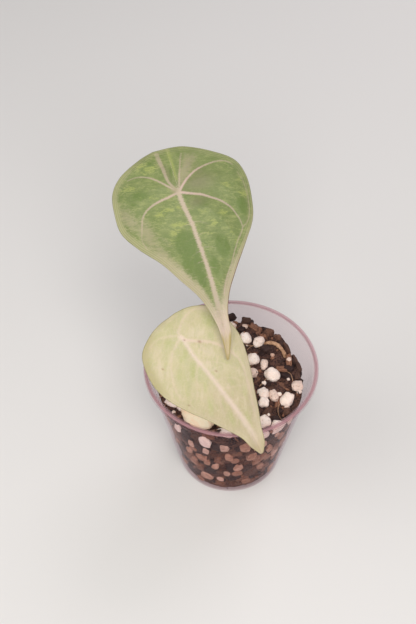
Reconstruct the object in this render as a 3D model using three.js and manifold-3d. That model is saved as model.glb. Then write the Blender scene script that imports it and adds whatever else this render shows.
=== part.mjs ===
// Potted maharani alocasia: two peltate leaves on their petioles, grown from one corm in a
// chunky potting mix that fills a clear tapered cup.
// Millimetres, +Z up, origin at the middle of the cup's base, the leaves hanging towards -Y.

import * as THREE from 'three';
import { mergeVertices } from 'three/addons/utils/BufferGeometryUtils.js';
import Module from 'manifold-3d';

const wasm = await Module();
wasm.setup();

// Clearance between pieces that touch
const GAP = 0.3;

// Cup: outside radii, wall, and the turned-down rim
const CUP_HEIGHT = 62;
const CUP_BASE_RADIUS = 22.5;
const CUP_MOUTH_RADIUS = 35.2;
const CUP_WALL = 0.7;
const CUP_SIDES = 48;
const BASE_CORNER = 1.2;
const RIM_RADIUS = 37;
const RIM_DROP = 1.6;
const DRAIN_RADIUS = 2;
const DRAIN_CIRCLE_RADIUS = 12;
const DRAIN_COUNT = 4;

// Potting mix: its surface is higher at the back than at the front, and lumpy
const MIX_LEVEL = 50;
const MIX_TILT = 2 / 30;
const MIX_HOLLOW = 2 / 900;
const MIX_RECESS = 0.9;
const MIX_RINGS = 5;
const MIX_LAYERS = 5;

// Corm, and the space in the mix that it and its roots fill
const CORM_TOP = 45.5;
const CORM_RADIUS = 6.6;
const CORM_HEIGHT = 14;
const CORM_SIDES = 18;
const CROWN_SPACE_TOP = CORM_TOP + 1.2;
const ROOT_SPACE_RADIUS = 11;
const ROOT_SPACE_FLOOR = 12;
const ROOT_COUNT = 7;
const ROOT_RADIUS = 0.9;

// Large pale stone, half sunk in the mix at the front left
const STONE_CENTRE = [-13.5, -19.5, 50.7];
const STONE_HALF = [8, 5, 3.7];
const STONE_TURN = -0.6;

// Surface root, arching out of the mix at the back right
const SURFACE_ROOT_RADIUS = 1;
const SURFACE_ROOT_PATH = [
  [12.8, 20.9, 48],
  [14.8, 20.6, 51.6],
  [18.2, 19.9, 53.2],
  [21.2, 17.9, 52.8],
  [23.2, 15.6, 50.6],
  [23.9, 14.4, 47],
];

// Blades: thickness, ribs below, and how much the skin puffs up between sunken veins
const BLADE_THICKNESS = 0.9;
const BLADE_ROWS = 42;
const RIB_HALF_WIDTH = 1.1;
const RIB_SHARE_LIMIT = 0.45;
const RIB_DEPTH = 0.9;
const RIB_GROOVE = 0.25;
const VEIN_REACH = 4.5;
const COLUMN_SHARES = [0.25, 0.5, 0.75, 1];

// Each leaf hangs from its hub, where the petiole meets the blade. Rows of the blade run from
// the back margin to the tip, each as [left, midrib, right] points: x along the leaf from the
// hub towards the tip, y across it to the right.
const UPPER_LEAF = {
  hub: [-21.2, 9.8, 154],
  heading: -69,
  pitch: 33,
  roll: 13.6,
  rows: [
    [[-17.3, -5.4], [-17.2, -2], [-17, 1.5]],
    [[-15.7, -11.4], [-14.8, -1.2], [-15.9, 7]],
    [[-11.8, -19.9], [-9.2, -0.5], [-11.8, 15.5]],
    [[-6.3, -24.6], [-3.6, -0.1], [-6.3, 23.4]],
    [[1.4, -25.9], [2, 0.1], [0.6, 26.1]],
    [[9.1, -25.4], [8.2, 0.3], [8.8, 25.9]],
    [[16.7, -20.7], [15.3, 1.3], [17.5, 23.9]],
    [[24.6, -13.9], [22.9, 1.8], [25.7, 18.6]],
    [[32.5, -8.8], [31.4, 2], [33.9, 12.7]],
    [[40.2, -3.9], [39.7, 1.8], [41.4, 7.8]],
    [[47.8, -1.2], [47.3, 1.8], [48.7, 5]],
    [[55.5, 0], [55.5, 1.7], [56.3, 3.9]],
    [[64.8, -0.6], [65.1, -0.2], [64.9, 0.3]],
  ],
  veins: [
    [[0, 0], [2.6, 7.7], [5.8, 12.6], [10.4, 16.2], [15.2, 17.9], [19.6, 18.2]],
    [[0, 0], [-4.2, 3.8], [-6.7, 8.5], [-8.5, 12.9], [-8.3, 17.6]],
    [[0, 0], [-6.1, 1.3], [-11.4, 3.3], [-14, 4.8]],
    [[0, 0], [-5.8, -1.5], [-11.1, -2.3], [-15.1, -2.6]],
    [[0, 0], [-4.5, -3.9], [-7, -7], [-8.8, -10.4], [-9.3, -17.3]],
    [[0, 0], [0.5, -5.4], [4.2, -12.4], [11, -15.6], [15.6, -17.4]],
    [[10, 0.5], [16, 7], [24.5, 13.5]],
    [[18, 1.5], [24, 6.5], [32, 10.5]],
    [[10, 0.5], [15.5, -6], [21, -12.5]],
    [[18, 1.5], [24, -3.5], [29, -8]],
  ],
  backBend: 0.012,
  tipBend: 0.0048,
  sideBend: 0.009,
  puff: 0.9,
  beakStart: 42,
  beakFold: 0.45,
};
const LOWER_LEAF = {
  hub: [-19, -21.6, 106.3],
  heading: -49.4,
  pitch: 31,
  roll: 23.6,
  rows: [
    [[-8.9, -1], [-9.2, 2], [-8.9, 5.8]],
    [[-8.5, -5.8], [-7.7, 1.2], [-7.7, 9.8]],
    [[-6.5, -11.5], [-4.6, 0.3], [-4.9, 14.3]],
    [[-2.2, -17.3], [-1, -0.1], [-0.6, 17]],
    [[4.7, -19.6], [3.5, -0.2], [5, 18.5]],
    [[11.6, -19.9], [9.6, -0.4], [11.6, 19]],
    [[18.7, -18], [16.7, 0.2], [18.6, 17.5]],
    [[25.9, -14.1], [23.7, 1], [25.8, 15.1]],
    [[32.4, -9.8], [30.8, 1.7], [32.5, 12.4]],
    [[39.4, -5.7], [38.2, 2], [39.6, 9.7]],
    [[45.7, -2.2], [44.9, 2.1], [46.3, 6.8]],
    [[50.8, -1], [50.5, 1.9], [51.7, 4.9]],
    [[55.3, 0.7], [55.5, 1.4], [55.3, 2.1]],
  ],
  veins: [
    [[0, 0], [5, 5], [8.2, 8.2], [12, 11], [20, 13]],
    [[0, 0], [-3.8, 3.9], [-5, 8.5], [-5, 11.6]],
    [[0, 0], [-2.8, -5.8], [-4.1, -10.2], [-3.9, -13.1]],
    [[0, 0], [3.9, -6], [8.6, -10.2], [16.5, -14.4]],
    [[12, 0.1], [18, -4.3], [24, -8]],
    [[12, 0.1], [18, 6], [28, 9]],
  ],
  backBend: 0.028,
  tipBend: 0.0052,
  sideBend: 0.011,
  puff: 0.7,
  beakStart: 42,
  beakFold: 0.4,
};

// Petioles: from the crown of the corm to a point under the hub, thickest at the sheathed base
const UPPER_PETIOLE = {
  path: [[-1.6, 2.6, CORM_TOP + GAP], [-1.6, 3.4, 62], [-4, 7, 92], [-11, 11, 125]],
  baseRadius: 3,
  topRadius: 1.7,
};
const LOWER_PETIOLE = {
  path: [[1.2, -2.9, CORM_TOP + GAP], [0.5, -4.5, 60], [-4.5, -10, 80]],
  baseRadius: 2.4,
  topRadius: 1.4,
};
const HUB_FLARE = 1.35;
const PETIOLE_SIDES = 12;
const PETIOLE_STEPS = 20;

// Grains and chips that show on top of the mix, placed by hand as [x, y, radius]
const SURFACE_GRAINS = [
  [6.1, 22.2, 2.7],
  [11.8, 20.6, 2.5],
  [9.4, 10.8, 2.7],
  [14.2, 10.1, 2.1],
  [17.7, 3.7, 3.1],
  [18.1, -2.4, 2.2],
  [14, -5.3, 2.4],
  [14.1, -10.2, 2.2],
  [24.1, -9, 2.9],
  [28, -0.6, 2.4],
  [14.1, -20.9, 2.8],
  [19.6, -22, 3],
  [-24.4, -13.4, 2.3],
  [-1.9, -26.6, 2.5],
  [-10, 20, 2.6],
  [-22, 8, 2.4],
  [-14, 26, 2],
];
const WALL_GRAIN_COUNT = 20;
const WALL_CHIP_COUNT = 12;
const CHIP_COUNT = 26;

// Colours and surfaces
const CLEAR_PLASTIC = { color: 0xd9d4da, roughness: 0.12, metalness: 0 };
const MIX_BROWN = { color: 0x3a2a2c, roughness: 0.95, metalness: 0 };
const CORM_TAN = { color: 0xb79f7c, roughness: 0.8, metalness: 0 };
const PETIOLE_GREEN = { color: 0xb9bd8c, roughness: 0.45, metalness: 0 };
const BLADE_GREEN = { color: 0x8a9560, roughness: 0.5, metalness: 0 };
const BLADE_CREAM = { color: 0xdacda2, roughness: 0.5, metalness: 0 };
const STONE_PALE = { color: 0xc2b48e, roughness: 0.85, metalness: 0 };
const ROOT_YELLOW = { color: 0xa98a55, roughness: 0.7, metalness: 0 };

// A seeded draw between two values, the same on every run
function seededDraw(seed) {
  let state = seed;
  return (low, high) => {
    state = (state * 16807) % 2147483647;
    return low + (high - low) * (state / 2147483647);
  };
}

function smoothStep(from, to, value) {
  const share = THREE.MathUtils.clamp((value - from) / (to - from), 0, 1);
  return share * share * (3 - 2 * share);
}

// Closed geometry to a solid that can be joined and cut, and back
function toSolid(geometry) {
  const bare = geometry.clone();
  bare.deleteAttribute('normal');
  bare.deleteAttribute('uv');
  const merged = mergeVertices(bare, 1e-4);
  return new wasm.Manifold(new wasm.Mesh({
    numProp: 3,
    vertProperties: new Float32Array(merged.attributes.position.array),
    triVerts: new Uint32Array(merged.index.array),
  }));
}

function toGeometry(solid) {
  const result = solid.getMesh();
  const geometry = new THREE.BufferGeometry();
  geometry.setAttribute('position', new THREE.BufferAttribute(result.vertProperties, 3));
  geometry.setIndex(new THREE.BufferAttribute(result.triVerts, 1));
  geometry.computeVertexNormals();
  return geometry;
}

// The largest body of a solid, without the loose scraps and the sealed hollows that joining left
function largestBody(solid) {
  const bodies = solid.decompose();
  return bodies.reduce((best, body) => (body.volume() > best.volume() ? body : best));
}

function indexedGeometry(points, faces) {
  const geometry = new THREE.BufferGeometry();
  geometry.setAttribute('position', new THREE.Float32BufferAttribute(points.flat(), 3));
  geometry.setIndex(faces.flat());
  geometry.computeVertexNormals();
  return geometry;
}

function namedMesh(name, geometry, look) {
  const mesh = new THREE.Mesh(geometry, new THREE.MeshStandardMaterial(look));
  mesh.name = name;
  return mesh;
}

// Turned solid about the Z axis from [radius, height] points
function turned(profile, sides) {
  const points = profile.map(([radius, height]) => new THREE.Vector2(radius, height));
  return new THREE.LatheGeometry(points, sides).rotateX(Math.PI / 2);
}

function cupOuterRadius(height) {
  return CUP_BASE_RADIUS + (CUP_MOUTH_RADIUS - CUP_BASE_RADIUS) * (height / CUP_HEIGHT);
}

function cupInnerRadius(height) {
  return cupOuterRadius(height) - CUP_WALL;
}

// Thin tapered wall with a flat base and a rim that turns out and down
function buildCup() {
  const skirtBottom = CUP_HEIGHT - RIM_DROP;
  const flangeBottom = CUP_HEIGHT - CUP_WALL;
  const shell = toSolid(turned([
    [0, 0],
    [CUP_BASE_RADIUS - BASE_CORNER, 0],
    [CUP_BASE_RADIUS - BASE_CORNER * 0.3, BASE_CORNER * 0.3],
    [cupOuterRadius(BASE_CORNER), BASE_CORNER],
    [cupOuterRadius(flangeBottom), flangeBottom],
    [RIM_RADIUS - CUP_WALL, flangeBottom],
    [RIM_RADIUS - CUP_WALL, skirtBottom],
    [RIM_RADIUS, skirtBottom],
    [RIM_RADIUS, CUP_HEIGHT - 0.6],
    [RIM_RADIUS - 0.6, CUP_HEIGHT],
    [cupInnerRadius(CUP_HEIGHT) + 0.5, CUP_HEIGHT],
    [cupInnerRadius(CUP_HEIGHT - 0.5), CUP_HEIGHT - 0.5],
    [cupInnerRadius(CUP_WALL + 0.6), CUP_WALL + 0.6],
    [cupInnerRadius(CUP_WALL) - 0.6, CUP_WALL],
    [0, CUP_WALL],
  ], CUP_SIDES));
  const drains = [];
  for (let index = 0; index < DRAIN_COUNT; index += 1) {
    const angle = (index + 0.5) * (2 * Math.PI / DRAIN_COUNT);
    const drain = new THREE.CylinderGeometry(DRAIN_RADIUS, DRAIN_RADIUS, 4 * CUP_WALL, 16);
    drain.rotateX(Math.PI / 2);
    drain.translate(DRAIN_CIRCLE_RADIUS * Math.cos(angle), DRAIN_CIRCLE_RADIUS * Math.sin(angle), 0);
    drains.push(toSolid(drain));
  }
  const cup = drains.reduce((rest, drain) => rest.subtract(drain), shell);
  return namedMesh('cup', toGeometry(cup), CLEAR_PLASTIC);
}

// Height of the mix's surface: a shallow slope and hollow, then lumps
function mixHeight(x, y) {
  const level = MIX_LEVEL + MIX_TILT * y + MIX_HOLLOW * y * y - 0.05 * x;
  const broad = 0.9 * Math.sin(0.38 * x + 1.3) * Math.cos(0.33 * y + 0.4);
  const fine = 0.5 * Math.sin(0.9 * x - 0.7 * y);
  return level + broad + fine;
}

// Body of the mix, a little inside the space that its outermost grains reach
function mixBody() {
  const floor = CUP_WALL + GAP;
  const points = [[0, 0, floor]];
  const faces = [];
  const rings = [];
  const addRing = (radiusAt, heightAt) => {
    const ring = [];
    for (let side = 0; side < CUP_SIDES; side += 1) {
      const angle = side * (2 * Math.PI / CUP_SIDES);
      const radius = radiusAt(angle);
      const x = radius * Math.cos(angle);
      const y = radius * Math.sin(angle);
      ring.push(points.length);
      points.push([x, y, heightAt(x, y)]);
    }
    rings.push(ring);
  };
  for (let layer = 0; layer <= MIX_LAYERS; layer += 1) {
    const share = layer / MIX_LAYERS;
    const nominal = floor + share * (MIX_LEVEL - floor);
    const dent = (angle) => 0.4 * Math.sin(7 * angle + 2.1 * layer) * Math.sin(Math.PI * share);
    const radiusAt = (angle) => cupInnerRadius(nominal) - GAP - MIX_RECESS - dent(angle);
    const heightAt = (x, y) => floor + share * (mixHeight(x, y) - floor);
    addRing(radiusAt, heightAt);
  }
  const edge = cupInnerRadius(MIX_LEVEL) - GAP - MIX_RECESS;
  for (let ring = MIX_RINGS - 1; ring > 0; ring -= 1) {
    addRing(() => edge * (ring / MIX_RINGS), mixHeight);
  }
  const top = points.length;
  points.push([0, 0, mixHeight(0, 0)]);
  for (let side = 0; side < CUP_SIDES; side += 1) {
    const next = (side + 1) % CUP_SIDES;
    faces.push([0, rings[0][next], rings[0][side]]);
    for (let ring = 1; ring < rings.length; ring += 1) {
      const below = rings[ring - 1];
      const above = rings[ring];
      faces.push([below[side], below[next], above[next]]);
      faces.push([below[side], above[next], above[side]]);
    }
    const last = rings[rings.length - 1];
    faces.push([last[side], last[next], top]);
  }
  return toSolid(indexedGeometry(points, faces));
}

// Rough rounded lump: a many-sided ball with its corners moved in or out
function lump(draw, half, detail) {
  const ball = new THREE.IcosahedronGeometry(1, detail);
  ball.deleteAttribute('normal');
  ball.deleteAttribute('uv');
  const merged = mergeVertices(ball, 1e-4);
  const position = merged.attributes.position;
  for (let index = 0; index < position.count; index += 1) {
    const stretch = draw(0.86, 1.12);
    position.setXYZ(
      index,
      position.getX(index) * stretch * half[0],
      position.getY(index) * stretch * half[1],
      position.getZ(index) * stretch * half[2],
    );
  }
  return merged;
}

// Bark chip: a bent box with uneven corners
function chip(draw, half) {
  const box = new THREE.BoxGeometry(2 * half[0], 2 * half[1], 2 * half[2]);
  box.deleteAttribute('normal');
  box.deleteAttribute('uv');
  const merged = mergeVertices(box, 1e-4);
  const position = merged.attributes.position;
  for (let index = 0; index < position.count; index += 1) {
    position.setXYZ(
      index,
      position.getX(index) * draw(0.75, 1.1),
      position.getY(index) * draw(0.75, 1.1),
      position.getZ(index) * draw(0.7, 1.2),
    );
  }
  return merged;
}

function turnedAtRandom(geometry, draw) {
  geometry.rotateX(draw(-0.5, 0.5));
  geometry.rotateY(draw(-0.5, 0.5));
  geometry.rotateZ(draw(0, 2 * Math.PI));
  return geometry;
}

// Perlite and bark on the surface and against the wall, each sunk well into the body
function mixPieces() {
  const draw = seededDraw(4127);
  const pieces = [];
  for (const [x, y, radius] of SURFACE_GRAINS) {
    const half = [radius * draw(0.95, 1.15), radius * draw(0.8, 1), radius * draw(0.7, 0.9)];
    const grain = turnedAtRandom(lump(draw, half, 1), draw);
    pieces.push(toSolid(grain.translate(x, y, mixHeight(x, y) + 0.35 * radius)));
  }
  for (let index = 0; index < CHIP_COUNT; index += 1) {
    const radius = 29 * Math.sqrt(draw(0.03, 1));
    const angle = draw(0, 2 * Math.PI);
    const x = radius * Math.cos(angle);
    const y = radius * Math.sin(angle);
    const half = [draw(2, 3.8), draw(1.5, 2.6), draw(1.1, 1.8)];
    const piece = turnedAtRandom(chip(draw, half), draw);
    pieces.push(toSolid(piece.translate(x, y, mixHeight(x, y) + draw(-0.5, 0.7))));
  }
  for (let index = 0; index < WALL_GRAIN_COUNT + WALL_CHIP_COUNT; index += 1) {
    const angle = index * 2.4 + draw(-0.3, 0.3);
    const height = 5 + 41 * ((index * 0.618) % 1);
    const isGrain = index < WALL_GRAIN_COUNT;
    const size = isGrain ? draw(1.6, 2.8) : draw(2, 3.4);
    const half = [size, size * draw(0.7, 0.9), size * draw(0.6, 0.9)];
    const rough = isGrain ? lump(draw, half, 0) : chip(draw, half);
    const reach = cupInnerRadius(height) - GAP - 0.55 * size;
    const piece = turnedAtRandom(rough, draw);
    pieces.push(toSolid(piece.translate(reach * Math.cos(angle), reach * Math.sin(angle), height)));
  }
  return pieces;
}

// Space inside the cup that the mix may fill
function mixEnvelope() {
  const floor = CUP_WALL + GAP;
  const inside = (height) => cupInnerRadius(height) - GAP;
  return toSolid(turned([
    [0, floor],
    [inside(floor) - 0.9, floor],
    [inside(floor + 0.9), floor + 0.9],
    [inside(CUP_HEIGHT - 2), CUP_HEIGHT - 2],
    [0, CUP_HEIGHT - 2],
  ], CUP_SIDES));
}

// Space for the corm and its roots, open to the surface through the petioles' holes
function rootSpace() {
  return toSolid(turned([
    [0, ROOT_SPACE_FLOOR],
    [ROOT_SPACE_RADIUS - 2, ROOT_SPACE_FLOOR],
    [ROOT_SPACE_RADIUS, ROOT_SPACE_FLOOR + 2],
    [ROOT_SPACE_RADIUS, CORM_TOP - CORM_HEIGHT - 3],
    [CORM_RADIUS + GAP, CORM_TOP - CORM_HEIGHT + 1],
    [CORM_RADIUS + GAP, CROWN_SPACE_TOP],
    [0, CROWN_SPACE_TOP],
  ], CORM_SIDES));
}

// Round stem along a curve, its radius given by the share of the way along. Its far end is cut
// along a plane, or square where none is given.
function stem(curve, radiusAt, sides, steps, plane) {
  const frames = curve.computeFrenetFrames(steps);
  const points = [];
  const faces = [];
  for (let step = 0; step <= steps; step += 1) {
    const share = step / steps;
    const centre = curve.getPointAt(share);
    for (let side = 0; side < sides; side += 1) {
      const angle = side * (2 * Math.PI / sides);
      const point = centre.clone();
      point.addScaledVector(frames.normals[step], radiusAt(share) * Math.cos(angle));
      point.addScaledVector(frames.binormals[step], radiusAt(share) * Math.sin(angle));
      if (plane && step === steps) {
        const along = frames.tangents[step];
        const slide = plane.point.clone().sub(point).dot(plane.normal) / along.dot(plane.normal);
        point.addScaledVector(along, slide);
      }
      points.push(point.toArray());
    }
  }
  const start = points.length;
  points.push(curve.getPointAt(0).toArray());
  const end = points.length;
  points.push((plane ? plane.point : curve.getPointAt(1)).toArray());
  for (let side = 0; side < sides; side += 1) {
    const next = (side + 1) % sides;
    faces.push([start, next, side]);
    faces.push([end, steps * sides + side, steps * sides + next]);
    for (let step = 0; step < steps; step += 1) {
      const near = step * sides;
      const far = near + sides;
      faces.push([near + side, near + next, far + next]);
      faces.push([near + side, far + next, far + side]);
    }
  }
  return indexedGeometry(points, faces);
}

function curveThrough(points) {
  return new THREE.CatmullRomCurve3(points.map((point) => new THREE.Vector3(...point)));
}

// Turn from the leaf's own axes to the pot's: heading about Z, then pitch down, then roll
function leafRotation(leaf) {
  const { degToRad } = THREE.MathUtils;
  return new THREE.Euler(degToRad(leaf.roll), degToRad(leaf.pitch), degToRad(leaf.heading), 'ZYX');
}

// Petiole up to the underside of the hub, grown all round by extra for its hole in the mix
function petioleSolid(petiole, leaf, extra) {
  const normal = new THREE.Vector3(0, 0, 1).applyEuler(leafRotation(leaf));
  const hub = new THREE.Vector3(...leaf.hub);
  const seat = hub.clone().addScaledVector(normal, -(BLADE_THICKNESS + GAP));
  const path = petiole.path.map((point) => new THREE.Vector3(...point));
  path[0].z -= extra;
  const curve = new THREE.CatmullRomCurve3([...path, seat]);
  const radiusAt = (share) => {
    const swell = (petiole.baseRadius - petiole.topRadius) * (1 - smoothStep(0, 0.45, share));
    const flare = petiole.topRadius * (HUB_FLARE - 1) * smoothStep(0.93, 1, share);
    return petiole.topRadius + swell + flare + extra;
  };
  const plane = { point: seat, normal };
  return toSolid(stem(curve, radiusAt, PETIOLE_SIDES, PETIOLE_STEPS, plane));
}

function surfaceRootSolid(extra) {
  const radiusAt = (share) => SURFACE_ROOT_RADIUS * (1.1 - 0.3 * share) + extra;
  return toSolid(stem(curveThrough(SURFACE_ROOT_PATH), radiusAt, 7, 16));
}

function stoneSolid(extra) {
  const half = STONE_HALF.map((value) => value + extra);
  const stone = lump(seededDraw(77), half, 1).rotateZ(STONE_TURN);
  return toSolid(stone.translate(...STONE_CENTRE));
}

// The mix: body and pieces joined, held inside the cup, then cut for what stands or lies in it
function buildMix() {
  let mix = mixPieces().reduce((joined, piece) => joined.add(piece), mixBody());
  mix = mix.intersect(mixEnvelope());
  mix = mix.subtract(rootSpace());
  mix = mix.subtract(petioleSolid(UPPER_PETIOLE, UPPER_LEAF, GAP));
  mix = mix.subtract(petioleSolid(LOWER_PETIOLE, LOWER_LEAF, GAP));
  mix = mix.subtract(stoneSolid(GAP));
  mix = mix.subtract(surfaceRootSolid(GAP));
  return namedMesh('potting_mix', toGeometry(largestBody(mix)), MIX_BROWN);
}

// Corm with a flat crown, and its roots curling down and outwards
function buildCorm() {
  const bottom = CORM_TOP - CORM_HEIGHT;
  let corm = toSolid(turned([
    [0, bottom],
    [CORM_RADIUS * 0.6, bottom + CORM_HEIGHT * 0.08],
    [CORM_RADIUS * 0.95, bottom + CORM_HEIGHT * 0.3],
    [CORM_RADIUS, bottom + CORM_HEIGHT * 0.6],
    [CORM_RADIUS * 0.95, CORM_TOP - 1],
    [CORM_RADIUS * 0.85, CORM_TOP],
    [0, CORM_TOP],
  ], CORM_SIDES));
  const draw = seededDraw(913);
  for (let index = 0; index < ROOT_COUNT; index += 1) {
    const angle = index * (2 * Math.PI / ROOT_COUNT) + draw(-0.2, 0.2);
    const bend = draw(0.3, 0.9);
    const length = draw(10, 15);
    const at = (radius, turn, height) => [
      radius * Math.cos(angle + turn),
      radius * Math.sin(angle + turn),
      height,
    ];
    const path = curveThrough([
      at(2, 0, bottom + 5),
      at(5.5, 0, bottom + 1),
      at(8.6, bend * 0.3, bottom - 0.3 * length),
      at(8.8, bend * 0.7, bottom - 0.7 * length),
      at(7, bend, bottom - length),
    ]);
    const radiusAt = (share) => ROOT_RADIUS * (1.1 - 0.6 * share);
    corm = corm.add(toSolid(stem(path, radiusAt, 6, 8)));
  }
  return namedMesh('corm_and_roots', toGeometry(corm), CORM_TAN);
}

function distanceToVein(x, y, vein) {
  let nearest = Infinity;
  for (let index = 1; index < vein.length; index += 1) {
    const [ax, ay] = vein[index - 1];
    const [bx, by] = vein[index];
    const dx = bx - ax;
    const dy = by - ay;
    const along = ((x - ax) * dx + (y - ay) * dy) / (dx * dx + dy * dy);
    const share = THREE.MathUtils.clamp(along, 0, 1);
    nearest = Math.min(nearest, Math.hypot(x - ax - share * dx, y - ay - share * dy));
  }
  return nearest;
}

// Height of the blade's upper face above the hub's own plane. across is the distance from the
// midrib, and fromEdge the distance to the margin.
function bladeHeight(leaf, x, y, across, fromEdge) {
  const bend = (x < 0 ? leaf.backBend : leaf.tipBend) * x * x;
  const beak = smoothStep(leaf.beakStart, leaf.beakStart + 10, x);
  const side = leaf.sideBend * across * across;
  const fold = leaf.beakFold * beak * Math.abs(across);
  const toVein = Math.min(Math.abs(across), ...leaf.veins.map((vein) => distanceToVein(x, y, vein)));
  const rise = 1 - Math.exp(-((toVein / VEIN_REACH) ** 2));
  const puff = leaf.puff * rise * smoothStep(0, 5, fromEdge);
  return fold + puff - bend - side;
}

// Thin blade: rows from the back margin to the tip, columns from margin to margin. Both faces
// are split alike, and a rib stands out below along the midrib.
function bladeGeometry(leaf) {
  const curves = [0, 1, 2].map((line) => new THREE.SplineCurve(
    leaf.rows.map((row) => new THREE.Vector2(...row[line])),
  ));
  const columns = 2 * COLUMN_SHARES.length + 3;
  const middle = (columns - 1) / 2;
  const upper = [];
  const lower = [];
  for (let row = 0; row <= BLADE_ROWS; row += 1) {
    const [left, mid, right] = curves.map((curve) => curve.getPoint(row / BLADE_ROWS));
    for (let column = 0; column < columns; column += 1) {
      const edge = column < middle ? left : right;
      const reach = edge.distanceTo(mid);
      const ribShare = Math.min(RIB_SHARE_LIMIT, RIB_HALF_WIDTH / reach);
      const shares = [0, ribShare, ...COLUMN_SHARES.map((value) => ribShare + (1 - ribShare) * value)];
      const share = shares[Math.abs(column - middle)];
      const point = mid.clone().lerp(edge, share);
      const across = share * reach;
      const isRib = column === middle;
      const grow = smoothStep(2.5, 7, Math.hypot(point.x, point.y));
      const fade = 1 - 0.7 * smoothStep(10, 60, Math.abs(point.x));
      const height = bladeHeight(leaf, point.x, point.y, across, reach - across);
      const groove = isRib ? RIB_GROOVE * grow * fade : 0;
      const rib = isRib ? RIB_DEPTH * grow * fade : 0;
      upper.push([point.x, point.y, height - groove]);
      lower.push([point.x, point.y, height - BLADE_THICKNESS - rib]);
    }
  }
  const below = upper.length;
  const faces = [];
  const addQuad = (a, b, c, d) => faces.push([a, b, c], [a, c, d]);
  for (let row = 0; row < BLADE_ROWS; row += 1) {
    for (let column = 0; column < columns - 1; column += 1) {
      const a = row * columns + column;
      const b = a + columns;
      if (column < middle) {
        faces.push([a, b, b + 1], [a, b + 1, a + 1]);
        faces.push([below + a, below + b + 1, below + b], [below + a, below + a + 1, below + b + 1]);
      } else {
        faces.push([a, b, a + 1], [a + 1, b, b + 1]);
        faces.push([below + a, below + a + 1, below + b], [below + a + 1, below + b + 1, below + b]);
      }
    }
    const first = row * columns;
    const last = first + columns - 1;
    addQuad(first, below + first, below + first + columns, first + columns);
    addQuad(last, last + columns, below + last + columns, below + last);
  }
  const end = BLADE_ROWS * columns;
  for (let column = 0; column < columns - 1; column += 1) {
    addQuad(column, column + 1, below + column + 1, below + column);
    addQuad(end + column, below + end + column, below + end + column + 1, end + column + 1);
  }
  return indexedGeometry([...upper, ...lower], faces);
}

function buildBlade(name, leaf, look) {
  const blade = namedMesh(name, bladeGeometry(leaf), look);
  blade.rotation.copy(leafRotation(leaf));
  blade.position.set(...leaf.hub);
  return blade;
}

function buildLeaf(name, leaf, petiole, look) {
  const group = new THREE.Group();
  const stalk = toGeometry(petioleSolid(petiole, leaf, 0));
  group.add(namedMesh(`petiole_${name}`, stalk, PETIOLE_GREEN));
  group.add(buildBlade(`blade_${name}`, leaf, look));
  return group;
}

const plant = new THREE.Group();
plant.add(buildCup());
plant.add(buildMix());
plant.add(namedMesh('pale_stone', toGeometry(stoneSolid(0)), STONE_PALE));
plant.add(namedMesh('surface_root', toGeometry(surfaceRootSolid(0)), ROOT_YELLOW));
plant.add(buildCorm());
plant.add(buildLeaf('upper', UPPER_LEAF, UPPER_PETIOLE, BLADE_GREEN));
plant.add(buildLeaf('lower', LOWER_LEAF, LOWER_PETIOLE, BLADE_CREAM));

export default plant;
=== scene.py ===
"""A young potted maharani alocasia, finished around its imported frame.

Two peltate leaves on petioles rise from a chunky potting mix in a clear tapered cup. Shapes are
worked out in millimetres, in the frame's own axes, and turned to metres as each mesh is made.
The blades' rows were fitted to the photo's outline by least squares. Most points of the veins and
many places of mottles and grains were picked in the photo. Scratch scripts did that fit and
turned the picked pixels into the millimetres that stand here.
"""

import math

import bmesh
import bpy
import numpy as np
from mathutils import Euler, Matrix, Vector, kdtree, noise


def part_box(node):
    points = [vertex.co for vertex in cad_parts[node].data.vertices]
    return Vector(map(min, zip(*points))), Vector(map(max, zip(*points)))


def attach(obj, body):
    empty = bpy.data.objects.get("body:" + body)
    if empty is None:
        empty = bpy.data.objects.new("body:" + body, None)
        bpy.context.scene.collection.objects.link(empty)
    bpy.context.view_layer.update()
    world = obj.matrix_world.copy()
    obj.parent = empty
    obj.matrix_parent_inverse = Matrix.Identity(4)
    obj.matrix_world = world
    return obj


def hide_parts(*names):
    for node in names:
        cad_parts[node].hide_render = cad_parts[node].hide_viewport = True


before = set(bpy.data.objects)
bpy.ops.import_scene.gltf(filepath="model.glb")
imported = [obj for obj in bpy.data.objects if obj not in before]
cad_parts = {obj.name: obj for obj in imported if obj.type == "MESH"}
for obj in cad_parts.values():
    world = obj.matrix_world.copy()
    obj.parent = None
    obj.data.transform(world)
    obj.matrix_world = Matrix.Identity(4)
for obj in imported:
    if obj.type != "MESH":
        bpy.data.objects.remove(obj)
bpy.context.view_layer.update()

MM = 0.001
GAP = 0.3
FULL_TURN = 2 * math.pi
GOLDEN_ANGLE = math.pi * (3 - math.sqrt(5))
UPRIGHT_TURN = 1.57

# Seeds of the draws, and how a draw goes on to the next
BARK_SEED = 2203
GRAIN_SEED = 881
CRUMB_SEED = 5519
FIBRE_SEED = 3571
STONE_SEED = 77
CORM_SEED = 913
DRAW_FACTOR = 16807
DRAW_MODULUS = 2147483647

# Cup: the rim's radius and the height come from the frame
CUP_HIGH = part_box("cup")[1]
CUP_HEIGHT = CUP_HIGH[2] / MM
RIM_RADIUS = CUP_HIGH[0] / MM
CUP_BASE_RADIUS = 22.5
CUP_MOUTH_RADIUS = 35.2
CUP_WALL = 0.7
CUP_SIDES = 144
CUP_ROWS = 26
FOOT_ROUNDING = 1.15
LIP_ROUNDING = 0.55
RIM_DROP = 1.6
RIM_ROUNDING = 0.85
RIM_CORNER = 0.12
# Lilac layer on the rolled rim, a painted highlight where the rim catches the light, and faintly at the
# foot
RIM_HIGHLIGHT = 0.68
FOOT_HAZE = 0.05
RIM_HIGHLIGHT_INSIDE = (34.6, 35.6)
RIM_HIGHLIGHT_OUTSIDE = (36.5, 37)
FOOT_HAZE_RADII = (19, 21.5)
DRAIN_COUNT = 4
DRAIN_CIRCLE_RADIUS = 12
DRAIN_RADIUS = 2
DRAIN_SIDES = 48
DRAIN_DEPTH = 4

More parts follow.
